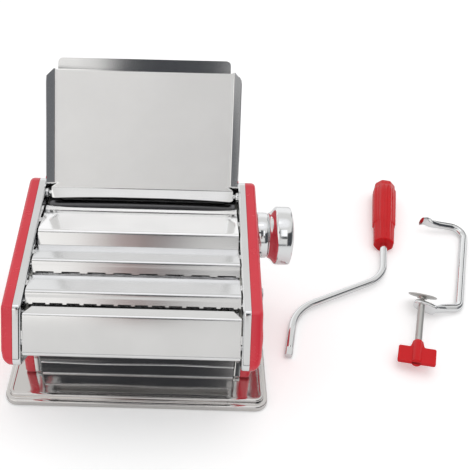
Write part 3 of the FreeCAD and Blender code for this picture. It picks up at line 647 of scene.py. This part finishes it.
PLATE_SHAPES = {"guide_plate_rear": swept_rear_edge, "front_fascia": mitred_lip}
PLATE_STATIONS = {}
for node, teeth in TEETH.items():
    PLATE_SHAPES[node] = lip_notches(*teeth, SHEETS[node])
    PLATE_STATIONS[node] = notch_stations(*teeth)
TAB_HALF = 3.0
TAB_OVERLAP = 0.3
TAB_SPANS = {"left": (-INNER_X, TAB_OVERLAP - PLATE_HALF),
             "right": (PLATE_HALF - TAB_OVERLAP, INNER_X)}
# Painted light and shade: the guide plates' upward faces get copies of the plate steel, a lighter
# one on the rear plate as painted light and a darker one on the middle and front plates as painted
# shade.
UPWARD = 0.9
lit_top_steel = metal("lit_top_steel", (0.97, 0.97, 0.97), roughness=0.12, grain=DRAWN,
                     grain_depth=0.003, wave=0.25, wave_scale=10.0)
shaded_steel = metal("shaded_steel", (0.76, 0.765, 0.77), roughness=0.17, grain=DRAWN,
                   grain_depth=0.003, wave=0.25, wave_scale=10.0)
PAINTED_TOP_LIGHT = {"guide_plate_rear": lit_top_steel, "guide_plate_middle": shaded_steel,
              "guide_plate_front": shaded_steel}
for node, corners in SHEETS.items():
    finish = shaded_apron_steel if node == "front_apron" else plate_steel
    if node not in PLATE_SHAPES:
        dress(folded_sheet(node + "_sheet", corners), finish, "machine", "stainless_sheet", node)
        continue
    sheet = folded_sheet(node + "_sheet", corners, PLATE_STATIONS.get(node, END_STATIONS),
                         PLATE_SHAPES[node])
    dress(sheet, finish, "machine", "stainless_sheet", node)
    sheet.data.materials.append(PAINTED_TOP_LIGHT.get(node, finish))
    for face in sheet.data.polygons:
        face.material_index = 1 if face.normal.z > UPWARD else 0
    spots = np.array([corner[:2] for corner in corners])
    start, end = max(zip(spots, spots[1:]), key=lambda run: math.dist(*run))
    centre = (start + end) / 2
    along = (end - start) / math.dist(start, end)
    tab_line = [(*(centre - along * TAB_HALF), 0), (*(centre + along * TAB_HALF), 0)]
    for side_name, span in TAB_SPANS.items():
        tab = folded_sheet(f"{node}_tab_{side_name}", tab_line, span)
        dress(tab, finish, "machine", "stainless_sheet")
coat_nodes(plate_steel, "roller_scraper_rear", "roller_scraper_front")

APRON_Y = -39.6
APRON_BEADS = {"apron_bead": (22.6, 0.75, 0.5), "apron_hem": (9.5, 0.7, 0.0)}
BEAD_WAVE = 17.0
bead_angles = np.linspace(-math.pi / 2, math.pi / 2, 9)
for bead_name, (height, radius, bow) in APRON_BEADS.items():
    bead_rings = []
    for x in np.linspace(-INNER_X, INNER_X, 25):
        line = height + bow * math.sin(x / BEAD_WAVE)
        bead_rings.append(np.column_stack([np.full(len(bead_angles), x),
                                           APRON_Y - radius * np.cos(bead_angles),
                                           line + radius * np.sin(bead_angles)]))
    # The bead and the hem take the darker copy of the plate steel, the same painted shade as on
    # the middle and front plates' tops.
    dress(loft(bead_name, bead_rings), shaded_steel, "machine", "stainless_sheet")

# Tie rods, carriers, cam and spring: zinc plated steel parts that hold the frames
# together and shift the front smooth roller when the knob turns.
zinc = metal("zinc_plate", (0.62, 0.62, 0.60), roughness=0.34, grain=(300.0, 300.0, 300.0),
             grain_depth=0.01, wave=0.1, wave_scale=30.0, smudge=0.12)
coat_nodes(zinc, "tie_rod_nose", "tie_rod_middle", "tie_rod_rear", "tie_rod_foot",
           "carrier_left", "carrier_right", "carrier_bar", "gap_cam", "knob_spring")


# Smooth rollers: ground and plated steel, turned with stepped ends; the rear one ends in
# a drive hub with a socket for the crank. Their near-black colour is painted shade, for the
# dark gap between the feed tray's lip and the guide plates.
ROLLER_Z = 102.0
FIXED_Y = 57.0
MOVING_Y = 28.7
BARREL_HALF = 74.5
LEFT_TIP = -86.2
SQUARED_TO = -75.0
RIGHT_TIP = 79.4
BARREL = [(-BARREL_HALF, 5.0), (-BARREL_HALF, 13.6), (-74.1, 14.0), (-70.0, 14.0), (70.0, 14.0),
          (74.1, 14.0), (BARREL_HALF, 13.6)]
LEFT_END = [(LEFT_TIP, 4.6), (-75.5, 4.6), (SQUARED_TO, 5.0)]
ROLLER_SQUARE = 3.5
HUB_ENDS = {"smooth": 91.2, "wide": 92.0, "narrow": 90.6}
# Painted shade: the rollers' steel is coloured near black so that the gap over them looks dark.
roller_shade_steel = metal("shaded_roller_steel", (0.15, 0.15, 0.155), roughness=0.2, grain=(900.0, 60.0, 60.0),
               grain_depth=0.003, wave=0.05, wave_scale=20.0)


def squared_end(half):
    """Limit for a roller whose left end is square, for its gear."""
    def limit(x, reach_y, reach_z):
        if x < SQUARED_TO:
            return np.clip(reach_y, -half, half), np.clip(reach_z, -half, half)
        return reach_y, reach_z

    return limit


def hub_socket(end):
    """Rounded hub with the mouth of the crank's socket and the narrower part behind it."""
    return [(end - 1.0, 5.2), (end - 0.4, 5.0), (end, 4.4), (end, 4.0), (end - 0.4, 3.6),
            (end - 5.0, 3.6), (end - 5.0, 2.6), (end - 11.0, 2.6), (end - 11.0, 1.0)]


fixed_profile = LEFT_END + BARREL + [(BARREL_HALF, 5.2)] + hub_socket(HUB_ENDS["smooth"])
moving_profile = LEFT_END + BARREL + [(BARREL_HALF, 5.0), (79.0, 5.0), (RIGHT_TIP, 4.6)]
for place, profile, axis_y in (("fixed", fixed_profile, FIXED_Y),
                               ("adjustable", moving_profile, MOVING_Y)):
    roller = turned(place + "_roller_turning", profile, (axis_y, ROLLER_Z), sides=64,
                    limit=squared_end(ROLLER_SQUARE))
    dress(roller, roller_shade_steel, place + "_roller_body", "roller_steel", place + "_roller")

# Cutter rollers: machined steel with square-edged rings that mesh with their partner's
# grooves, one pair for wide and one for narrow strips, with combs below to clear them.
CUTTER_PITCH = 15.6
CUTTERS = {"wide": (-28.1, 100.0, 8.0, 18), "narrow": (-57.6, 89.2, 2.5, 58)}
CUTTER_CORE = 6.9
CUTTER_RADIUS = 8.5
CUTTER_SQUARE = 2.8
CUTTER_LEFT = [(LEFT_TIP, 3.8), (-75.5, 3.8), (SQUARED_TO, 4.0), (-BARREL_HALF, 4.0),
               (-BARREL_HALF, CUTTER_CORE)]
CUTTER_RIGHT = [(BARREL_HALF, CUTTER_CORE), (BARREL_HALF, 4.0), (RIGHT_TIP, 4.0)]
RING_PLAY = 0.1
RING_CHAMFER = 0.12
machined = metal("machined_steel", (0.62, 0.62, 0.63), roughness=0.26,
                 grain=(1200.0, 90.0, 90.0), grain_depth=0.004, wave=0.05, wave_scale=20.0,
                 smudge=0.1)

for pair, (nip_y, axis_z, strip, strips) in CUTTERS.items():
    for place, first in (("front", 0), ("rear", 1)):
        profile = list(CUTTER_LEFT)
        for i in range(first, strips, 2):
            low = -strip * strips / 2 + i * strip + RING_PLAY
            high = low + strip - 2 * RING_PLAY
            profile += [(low, CUTTER_CORE), (low, CUTTER_RADIUS - RING_CHAMFER),
                        (low + RING_CHAMFER, CUTTER_RADIUS), (high - RING_CHAMFER, CUTTER_RADIUS),
                        (high, CUTTER_RADIUS - RING_CHAMFER), (high, CUTTER_CORE)]
        profile += CUTTER_RIGHT
        if place == "front":
            profile += [(RIGHT_TIP, 5.2)] + hub_socket(HUB_ENDS[pair])
        axis_y = nip_y + (CUTTER_PITCH / 2 if place == "rear" else -CUTTER_PITCH / 2)
        roller = turned(f"{pair}_cutter_{place}_turning", profile, (axis_y, axis_z), sides=48,
                        limit=squared_end(CUTTER_SQUARE))
        dress(roller, machined, f"{pair}_{place}_cutter", "cutter_steel",
              f"{pair}_cutter_{place}")
    coat_nodes(machined, pair + "_front_gear", pair + "_rear_gear")
    coat_nodes(plate_steel, pair + "_comb_front", pair + "_comb_rear")
coat_nodes(machined, "fixed_roller_gear", "adjustable_roller_gear")


# Bearings: blocks of white nylon that sit in the frames and carry the rollers' journals.
# They stay as the solids they are.
def nylon_sockets(wire):
    """Off-white nylon with a faint cloud of tone."""
    place = wire.node("ShaderNodeTexCoord", out="Object")
    cloud = wire.node("ShaderNodeTexNoise", {}, {"Vector": place, "Scale": 220.0, "Detail": 3.0})
    bumps = wire.node("ShaderNodeBump", {}, {"Strength": 0.3, "Distance": 0.0001, "Height": cloud})
    return {"Base Color": cloud.blend((0.80, 0.79, 0.73, 1.0), (0.88, 0.87, 0.82, 1.0)),
            "Roughness": 0.5, "Normal": bumps}


coat_nodes(material("bearing_nylon", nylon_sockets),
           "roller_bearings", "wide_bearings", "narrow_bearings")

# Thickness knob and its collar: chromed zinc castings, turned and polished, on the right
# of the front smooth roller.
KNOB_AXIS = (MOVING_Y, ROLLER_Z)
KNOB_CREASE = 0.8
COLLAR_PROFILE = [(90.0, 9.5), (90.0, 17.2), (90.3, 17.7), (91.0, 18.0), (97.6, 18.0),
                  (98.5, 17.8), (99.2, 17.0), (99.2, 5.6), (98.8, 5.4)]
KNOB_PROFILE = [(99.6, 5.2), (99.6, 17.2), (100.3, 17.9), (101.2, 18.4), (102.4, 19.2),
                (103.5, 20.4), (104.5, 21.8), (105.3, 22.6), (106.2, 22.95), (107.2, 23.0),
                (112.0, 23.0), (115.4, 23.0), (116.3, 22.75), (116.9, 22.2), (117.2, 21.4),
                (117.5, 20.6), (118.2, 18.0), (119.2, 13.0), (119.9, 8.0), (120.3, 4.0),
                (120.45, 2.0)]
KNOB_SHAFT_PROFILE = [(80.0, 4.4), (90.0, 4.4), (90.1, 8.2), (91.1, 8.2), (91.1, 5.0),
                      (99.8, 5.0)]
collar = turned("index_collar_turning", COLLAR_PROFILE, KNOB_AXIS, sides=96, sharp=KNOB_CREASE)
dress(collar, chrome, "machine", "chrome_steel", "index_collar")
knob = turned("knob_turning", KNOB_PROFILE, KNOB_AXIS, sides=96, sharp=KNOB_CREASE)
dress(knob, chrome, "thickness_knob", "chrome_steel", "knob")
shaft = turned("knob_shaft", KNOB_SHAFT_PROFILE, KNOB_AXIS, sides=32)
dress(shaft, zinc, "thickness_knob", "zinc_steel")

# Feed tray: one stainless sheet, satin on its face, with flared sides, a polished lip at
# the top and a curved polished lip over the rollers. It lifts off.
FEED_HALF = 70.25
FEED_LEAN = math.radians(32.7)
FEED_FOOT = (53.0, 126.0)
FEED_NOSE = (47.2, 121.8)
FEED_HEIGHT = 92.5
FEED_FLANGE = 7.6
FEED_FLARE = math.radians(46.0)
FEED_START = 4.0
FEED_SHORT = 1.0
FEED_SHEET = 0.9
FEED_CREASE = 1.2
FEED_ROWS = 10
FEED_LIP = 8.7
FEED_LIP_RISE = math.radians(48.0)
FLANGE_ROUND = 6.0
FLANGE_POINTS = 7
TOP_LIP_HALF = 67.25
LOW_LIP_HALF = 72.0
LIP_ROUND = 3.5
LOW_LIP_ROUND = 0.6
LIP_GAPS = (0.0, 0.3, 1.0, 2.2, LIP_ROUND, 7.0, 12.0, 19.0, 29.0, 47.0)
LIP_SHARES = (0.35, 0.7, 0.9, 1.0)
LIP_MARGIN = 0.5
LENS_BOW = 1.9
LENS_POWER = 2.4
END_CURL = 0.8
CURL_FROM = 61.0
POLISHED_EDGE = 0.0018

climb = np.array([math.sin(FEED_LEAN), math.cos(FEED_LEAN)])
outward = np.array([-math.cos(FEED_LEAN), math.sin(FEED_LEAN)])
foot = np.array(FEED_FOOT)
crest = foot + climb * FEED_HEIGHT
lip_end = crest + np.array([math.cos(FEED_LIP_RISE), math.sin(FEED_LIP_RISE)]) * FEED_LIP
spine = [(*FEED_NOSE, 0), (*foot, 1.2 + FEED_SHEET), (*crest, 1.6), (*lip_end, 0)]
spine_line = rounded(spine, closed=False, steps=6)
half_way = len(spine_line) // 2
flare_run = FEED_FLANGE * math.cos(FEED_FLARE)
flare_rise = FEED_FLANGE * math.sin(FEED_FLARE)
section = [(-FEED_HALF - flare_run, flare_rise, 0), (-FEED_HALF, 0, 1.6), (FEED_HALF, 0, 1.6),
           (FEED_HALF + flare_run, flare_rise, 0)]
left_bend = rounded(section, closed=False, steps=5)[:FLANGE_POINTS]
columns = [tuple(spot) for spot in left_bend] + [(gap - TOP_LIP_HALF, 0.0) for gap in LIP_GAPS]
columns += [(-x, rise) for x, rise in columns[::-1]]
lip_columns = [k for k, (x, rise) in enumerate(columns) if abs(x) <= TOP_LIP_HALF + STRAIGHT]
points = []
faces = []
index = {}


def feed_point(key, x, place):
    """Adds a point of the tray under a key that its faces use."""
    index[key] = len(points)
    points.append((x, place[0], place[1]))


def lip_place(line, row, x, low):
    """Where a lip's row lies: the fold's arc first, then shares of its straight run."""
    if row < len(line) - 1:
        return line[row]
    share = LIP_SHARES[row - len(line) + 1]
    run = line[-1] - line[-2]
    length = np.linalg.norm(run)
    into_round = max(0.0, LIP_ROUND - (TOP_LIP_HALF - abs(x)))
    longer = math.sqrt(LIP_ROUND ** 2 - into_round ** 2) - LIP_ROUND
    curl = 0.0
    if low:
        bow = LENS_BOW * (abs(x) / TOP_LIP_HALF) ** LENS_POWER
        longer = longer * LOW_LIP_ROUND + bow
        curl = END_CURL * max(0.0, (abs(x) - CURL_FROM) / (TOP_LIP_HALF - CURL_FROM)) ** 2
    back = np.array([-run[1], run[0]]) / length
    return line[-2] + run * share * (1.0 + longer / length) + back * curl * share


for row in range(FEED_ROWS + 1):
    for k, (x, rise) in enumerate(columns):
        flare = rise / flare_rise * FEED_FLANGE
        into_round = max(0.0, flare - (FEED_FLANGE - FLANGE_ROUND))
        cut_back = FLANGE_ROUND - math.sqrt(max(0.0, FLANGE_ROUND ** 2 - into_round ** 2))
        reach = FEED_HEIGHT - cut_back - (0.0 if rise else FEED_SHORT)
        along = FEED_START + (reach - FEED_START) * row / FEED_ROWS
        feed_point(("body", row, k), x, foot + climb * along + outward * rise)
for row in range(FEED_ROWS):
    for k in range(len(columns) - 1):
        faces.append([index["body", row + a, k + b] for a, b in ((0, 0), (0, 1), (1, 1), (1, 0))])
for end, line in (("low", spine_line[:half_way][::-1]), ("high", spine_line[half_way:])):
    body_row = 0 if end == "low" else FEED_ROWS
    spread = LOW_LIP_HALF / TOP_LIP_HALF if end == "low" else 1.0
    lip_rows = len(line) - 1 + len(LIP_SHARES)
    for row in range(lip_rows):
        for k in lip_columns:
            x = columns[k][0]
            feed_point((end, row, k), x * spread, lip_place(line, row, x, end == "low"))
    for k in lip_columns[:-1]:
        faces.append([index["body", body_row, k], index["body", body_row, k + 1],
                      index[end, 0, k + 1], index[end, 0, k]])
        for row in range(lip_rows - 1):
            faces.append([index[end, row + a, k + b] for a, b in ((0, 0), (0, 1), (1, 1), (1, 0))])
feed_tray = grid_piece("feed_tray_sheet", points, faces, FEED_CREASE)
edge_uses = np.bincount([loop.edge_index for loop in feed_tray.data.loops],
                        minlength=len(feed_tray.data.edges))
for edge in feed_tray.data.edges:
    edge.use_edge_sharp = edge.use_edge_sharp or bool(edge_uses[edge.index] == 1)
thickness = feed_tray.modifiers.new("sheet", "SOLIDIFY")
thickness.thickness = FEED_SHEET * MM
thickness.offset = 0.0
satin = metal("satin_steel", (0.97, 0.965, 0.955), roughness=0.48, grain=(1400.0, 30.0, 30.0),
              grain_depth=0.004, wave=0.05, wave_scale=8.0, metallic=0.8)
dress(feed_tray, satin, "lift_off_tray", "stainless_sheet", "feed_tray")
polished = metal("lip_steel", (0.84, 0.84, 0.84), roughness=0.09, grain=DRAWN,
                 grain_depth=0.002, wave=0.15, wave_scale=14.0)
feed_tray.data.materials.append(polished)
plain_half = FEED_HALF * MM - POLISHED_EDGE
lip_below = MM * (foot[1] + LIP_MARGIN)
lip_beyond = MM * (crest[0] - LIP_MARGIN)
for face in feed_tray.data.polygons:
    middle = face.center
    on_lip = middle.z < lip_below or middle.y > lip_beyond
    face.material_index = 1 if on_lip or abs(middle.x) > plain_half else 0


# Crank: a bent chromed rod with two flats at its tip, and a red grip moulded with eight
# ribbed flats, which spins on it. It lies on the table beside the machine.
def tube(name, path, radius, squeeze, sides=28):
    """Rod along a path; squeeze(distance, across, up) may flatten its section."""
    path = np.asarray(path, float)
    runs = np.gradient(path, axis=0)
    runs /= np.linalg.norm(runs, axis=1)[:, None]
    upward = np.array([0.0, 0.0, 1.0])
    angles = np.arange(sides) * 2 * math.pi / sides
    steps = np.linalg.norm(np.diff(path, axis=0), axis=1)
    distance = np.concatenate([[0], np.cumsum(steps)])
    rings = []
    for spot, run, gone in zip(path, runs, distance):
        across = np.cross(run, upward)
        across /= np.linalg.norm(across)
        lift = np.cross(across, run)
        wide, high = squeeze(gone, radius * np.cos(angles), radius * np.sin(angles))
        rings.append(spot + wide[:, None] * across + high[:, None] * lift)
    return loft(name, rings)


def lay_down(piece, origin, yaw, tilt=0.0):
    """Moves a piece made about its own origin to where it lies on the table."""
    turn = Matrix.Rotation(math.radians(tilt), 4, "X") @ Matrix.Rotation(math.radians(yaw), 4, "Z")
    piece.data.transform(Matrix.Translation(Vector(origin) * MM) @ turn)
    return piece


CRANK_AT = (124.1, -10.3, 3.5)
CRANK_YAW = -11.3
CRANK_TILT = 2.2
CRANK_ANGLE = math.radians(52.0)
CRANK_SHAFT = 52.5
CRANK_ARM = 97.8
CRANK_ROD = 3.5
CRANK_FLAT = 2.5
FLAT_LENGTH = 8.2
TIP_ROUNDING = ((0.2, 0.86), (0.5, 0.96))
GRIP_START = 43.8
GRIP_LENGTH = 97.0
GRIP_BOTTOM = 8.0
elbow_x = CRANK_ARM * math.sin(CRANK_ANGLE)
elbow_y = CRANK_SHAFT + CRANK_ARM * math.cos(CRANK_ANGLE)
crank_route = [(0, 0, 0), (0, CRANK_SHAFT, 42.0), (elbow_x, elbow_y, 34.0),
               (elbow_x, elbow_y + GRIP_START + GRIP_LENGTH - GRIP_BOTTOM, 0)]
bend_line = rounded(crank_route, closed=False, steps=24)
tip_line = [(0.0, y) for y in (0.0, 0.35, 0.7, 7.4, 8.0, 8.8)]
crank_line = np.vstack([tip_line, bend_line[1:]])
crank_path = np.column_stack([crank_line, np.zeros(len(crank_line))])


def crank_flats(gone, wide, high):
    """Rounded tip, and the two flats that fit the rollers' sockets."""
    round_off = next((share for reach, share in TIP_ROUNDING if gone < reach), 1.0)
    wide, high = wide * round_off, high * round_off
    return (wide, np.clip(high, -CRANK_FLAT, CRANK_FLAT)) if gone < FLAT_LENGTH else (wide, high)


crank = tube("crank_rod_bent", crank_path, CRANK_ROD, crank_flats)
lay_down(crank, CRANK_AT, CRANK_YAW, CRANK_TILT)
dress(crank, chrome, "crank", "chrome_steel", "crank_rod")

GRIP_PROFILE = [(2.0, 3.7), (2.0, 8.2), (2.6, 9.0), (3.6, 9.4), (10.0, 9.5), (20.0, 9.7),
                (29.0, 9.9), (30.0, 10.1), (30.6, 10.8), (31.4, 11.0), (45.0, 11.2),
                (60.0, 11.4), (75.0, 11.6), (85.2, 11.65), (86.2, 11.3), (86.8, 10.8),
                (88.0, 10.6), (91.0, 10.5), (94.0, 10.4), (95.2, 10.1), (96.2, 9.2),
                (96.6, 8.2), (96.6, 3.5), (96.6, 1.0)]
FLAT_TURN = math.pi / 4
CORNER_REACH = 1.055
RIB_FROM = 5.0
RIB_TO = 85.4
RIB_HALF = 0.09
RIB_FLANK = 0.03
GROOVE_DEPTH = 0.06
OVAL_START = 8.7
OVAL_CLIMB = 0.038


def grip_facets(x, reach_y, reach_z):
    """Eight flats with softened corners, a narrow raised rib on each, slightly oval."""
    angles = np.arctan2(reach_z, reach_y)
    off_flat = (angles + FLAT_TURN / 2) % FLAT_TURN - FLAT_TURN / 2
    reach = np.minimum(1.0 / np.cos(off_flat), CORNER_REACH)
    if RIB_FROM < x < RIB_TO:
        beside_rib = np.clip((np.abs(off_flat) - RIB_HALF) / RIB_FLANK, 0.0, 1.0)
        reach = reach - GROOVE_DEPTH * (beside_rib * np.cos(off_flat * 4) ** 2)
    oval = min(1.0, (OVAL_START + OVAL_CLIMB * x) / math.hypot(reach_y[0], reach_z[0]))
    return reach_y * reach, reach_z * reach * oval


quarter_turn = Matrix.Rotation(math.pi / 2, 4, "Z")
red_gloss = moulded("red_grip_moulding", deep=(0.60, 0.006, 0.010, 1.0),
                    light=(0.66, 0.012, 0.016, 1.0), roughness=0.16, gloss=0.2)
grip = turned("crank_grip_moulding", GRIP_PROFILE, sides=160, limit=grip_facets)
grip_at = (elbow_x * MM, (elbow_y + GRIP_START) * MM, 0)
grip.data.transform(Matrix.Translation(grip_at) @ quarter_turn)
lay_down(grip, CRANK_AT, CRANK_YAW, CRANK_TILT)
dress(grip, red_gloss, "crank_handle", "red_plastic", "crank_grip")

# Table clamp: a bent chromed rod with a flat eye at one end and a flattened wavy tip at the
# other, a zinc plated screw, a loose pressure pad and a red wing handle. It lies on the
# table too.
CLAMP_AT = (245.8, 41.9, 12.5)
CLAMP_YAW = -17.0
CLAMP_TILT = 13.5
CLAMP_ROD = 3.8
CLAMP_REACH = 37.3
CLAMP_TOP = 139.0
EYE_TO = 16.0
EYE_FADE = 8.0
TIP_LENGTH = 17.0
TIP_FADE = 9.0
FLAT_NARROWER = 0.48
FLAT_HIGHER = 0.35
clamp_route = [(3.0, 2.8, 0), (12.5, 4.2, 8.0), (20.0, 10.5, 8.0), (34.6, 19.0, 10.0),
               (CLAMP_REACH, CLAMP_TOP, 11.0), (9.0, CLAMP_TOP - 10.6, 6.0),
               (2.0, CLAMP_TOP - 13.2, 5.0), (-3.5, CLAMP_TOP - 12.0, 4.0),
               (-8.0, CLAMP_TOP - 15.6, 0)]
clamp_line = rounded(clamp_route, closed=False, steps=14)
clamp_path = np.column_stack([clamp_line, np.zeros(len(clamp_line))])
clamp_length = float(np.linalg.norm(np.diff(clamp_line, axis=0), axis=1).sum())


def clamp_squeeze(gone, wide, high):
    """Round along the bar, hammered flat at the eye and at the tip."""
    eye = min(1.0, max(0.0, (EYE_TO - gone) / EYE_FADE))
    tip = min(1.0, max(0.0, (gone - clamp_length + TIP_LENGTH) / TIP_FADE))
    flat = max(eye, tip)
    return wide * (1.0 - FLAT_NARROWER * flat), high * (1.0 + FLAT_HIGHER * flat)


clamp_bar = tube("clamp_bar", clamp_path, CLAMP_ROD, clamp_squeeze)
EYE_OUTLINE = [(-7.0, -5.2, 5.0), (13.5, -5.2, 3.5), (13.5, 5.2, 3.5), (-7.0, 5.2, 5.0)]
EYE_EDGE = [(0.6, 0.7), (0.9, 0.2), (1.2, 0.0), (4.2, 0.0), (4.5, 0.2), (4.8, 0.7)]
eye_rings = []
for depth, inset in EYE_EDGE:
    flat = rounded(EYE_OUTLINE, inset)
    eye_rings.append(np.column_stack([flat[:, 0], np.full(len(flat), depth), flat[:, 1]]))
clamp_eye = loft("clamp_eye", eye_rings)
for piece in (clamp_bar, clamp_eye):
    piece.data.transform(Matrix.Rotation(math.radians(CLAMP_TILT), 4, "Y"))
    lay_down(piece, CLAMP_AT, CLAMP_YAW)
dress(clamp_bar, chrome, "clamp", "chrome_steel", "clamp_frame")
dress(clamp_eye, chrome, "clamp", "chrome_steel")

SCREW_RADIUS = 3.0
SCREW_FROM = -57.0
SCREW_TO = 8.8
THREAD_PITCH = 1.25
THREAD_DEPTH = 0.45
THREAD_STEPS = 6
END_SLACK = 0.01
THREAD_CREASE = 1.2
screw_stations = np.arange(SCREW_FROM, SCREW_TO + END_SLACK, THREAD_PITCH / THREAD_STEPS)


def thread(x, reach_y, reach_z):
    """Winds a groove round the rod, one turn for each pitch."""
    turn = np.arctan2(reach_z, reach_y) / (2 * math.pi) + x / THREAD_PITCH
    wave = np.abs((turn % 1.0) * 2.0 - 1.0)
    scale = 1.0 - THREAD_DEPTH / SCREW_RADIUS * wave
    return reach_y * scale, reach_z * scale


screw = turned("clamp_screw_thread", [(x, SCREW_RADIUS) for x in screw_stations], sides=24,
               limit=thread, sharp=THREAD_CREASE)
PAD_PROFILE = [(0.0, 1.3), (0.0, 3.9), (0.3, 4.5), (1.2, 4.6), (1.5, 5.4), (1.8, 9.0),
               (1.85, 11.4), (2.1, 12.2), (2.6, 12.5), (3.0, 12.4), (3.15, 12.0), (2.9, 11.0),
               (2.75, 6.0), (2.6, 1.0)]
PAD_AT = 11.3
PAD_TILT = math.radians(41.0)
pad = turned("clamp_pad_pressing", PAD_PROFILE, sides=64)
tipped = Matrix.Rotation(-PAD_TILT, 4, "Y")
pad.data.transform(Matrix.Translation((PAD_AT * MM, 0.0, 0.0)) @ tipped)
for piece in (screw, pad):
    piece.data.transform(quarter_turn)
    lay_down(piece, CLAMP_AT, CLAMP_YAW)
dress(screw, zinc, "clamp_spindle", "zinc_steel", "clamp_screw")
dress(pad, zinc, "clamp_pressure_pad", "zinc_steel", "clamp_pad")

WING_LOW = -67.0
WING_HIGH = -49.8
WING_NECK = 7.2
WING_ROLL = math.radians(-8.0)
WING_HALF = 15.0
NECK_END = WING_HIGH + WING_NECK
WING_OUTLINE = [(-WING_HALF, WING_LOW, 1.6), (WING_HALF, WING_LOW, 1.6),
                (WING_HALF, WING_HIGH, 1.6), (5.6, WING_HIGH, 1.5), (4.0, NECK_END, 1.0),
                (-4.0, NECK_END, 1.0), (-5.6, WING_HIGH, 1.5), (-WING_HALF, WING_HIGH, 1.6)]
WING_EDGE = [(1.8, 1.4), (1.8, 0.6), (1.5, 0.15), (1.1, 0.0)]
wing_rings = [ring_at(WING_OUTLINE, inset, -height) for height, inset in WING_EDGE]
wing_rings += [ring_at(WING_OUTLINE, inset, height) for height, inset in WING_EDGE[::-1]]
wing = loft("clamp_wing_moulding", wing_rings)
HUB_PROFILE = [(WING_LOW, 3.4), (WING_LOW, 3.7), (WING_LOW + 0.6, 4.2), (WING_HIGH, 4.2),
               (WING_HIGH + 5.6, 4.0), (WING_HIGH + 7.0, 3.7), (NECK_END, 3.2)]
wing_hub = turned("clamp_wing_hub", HUB_PROFILE, sides=40)
wing_hub.data.transform(quarter_turn)
for piece in (wing, wing_hub):
    piece.data.transform(Matrix.Rotation(WING_ROLL, 4, "Y"))
    lay_down(piece, CLAMP_AT, CLAMP_YAW)
dress(wing, red_gloss, "clamp_spindle", "red_plastic", "clamp_wing")
dress(wing_hub, red_gloss, "clamp_spindle", "red_plastic")
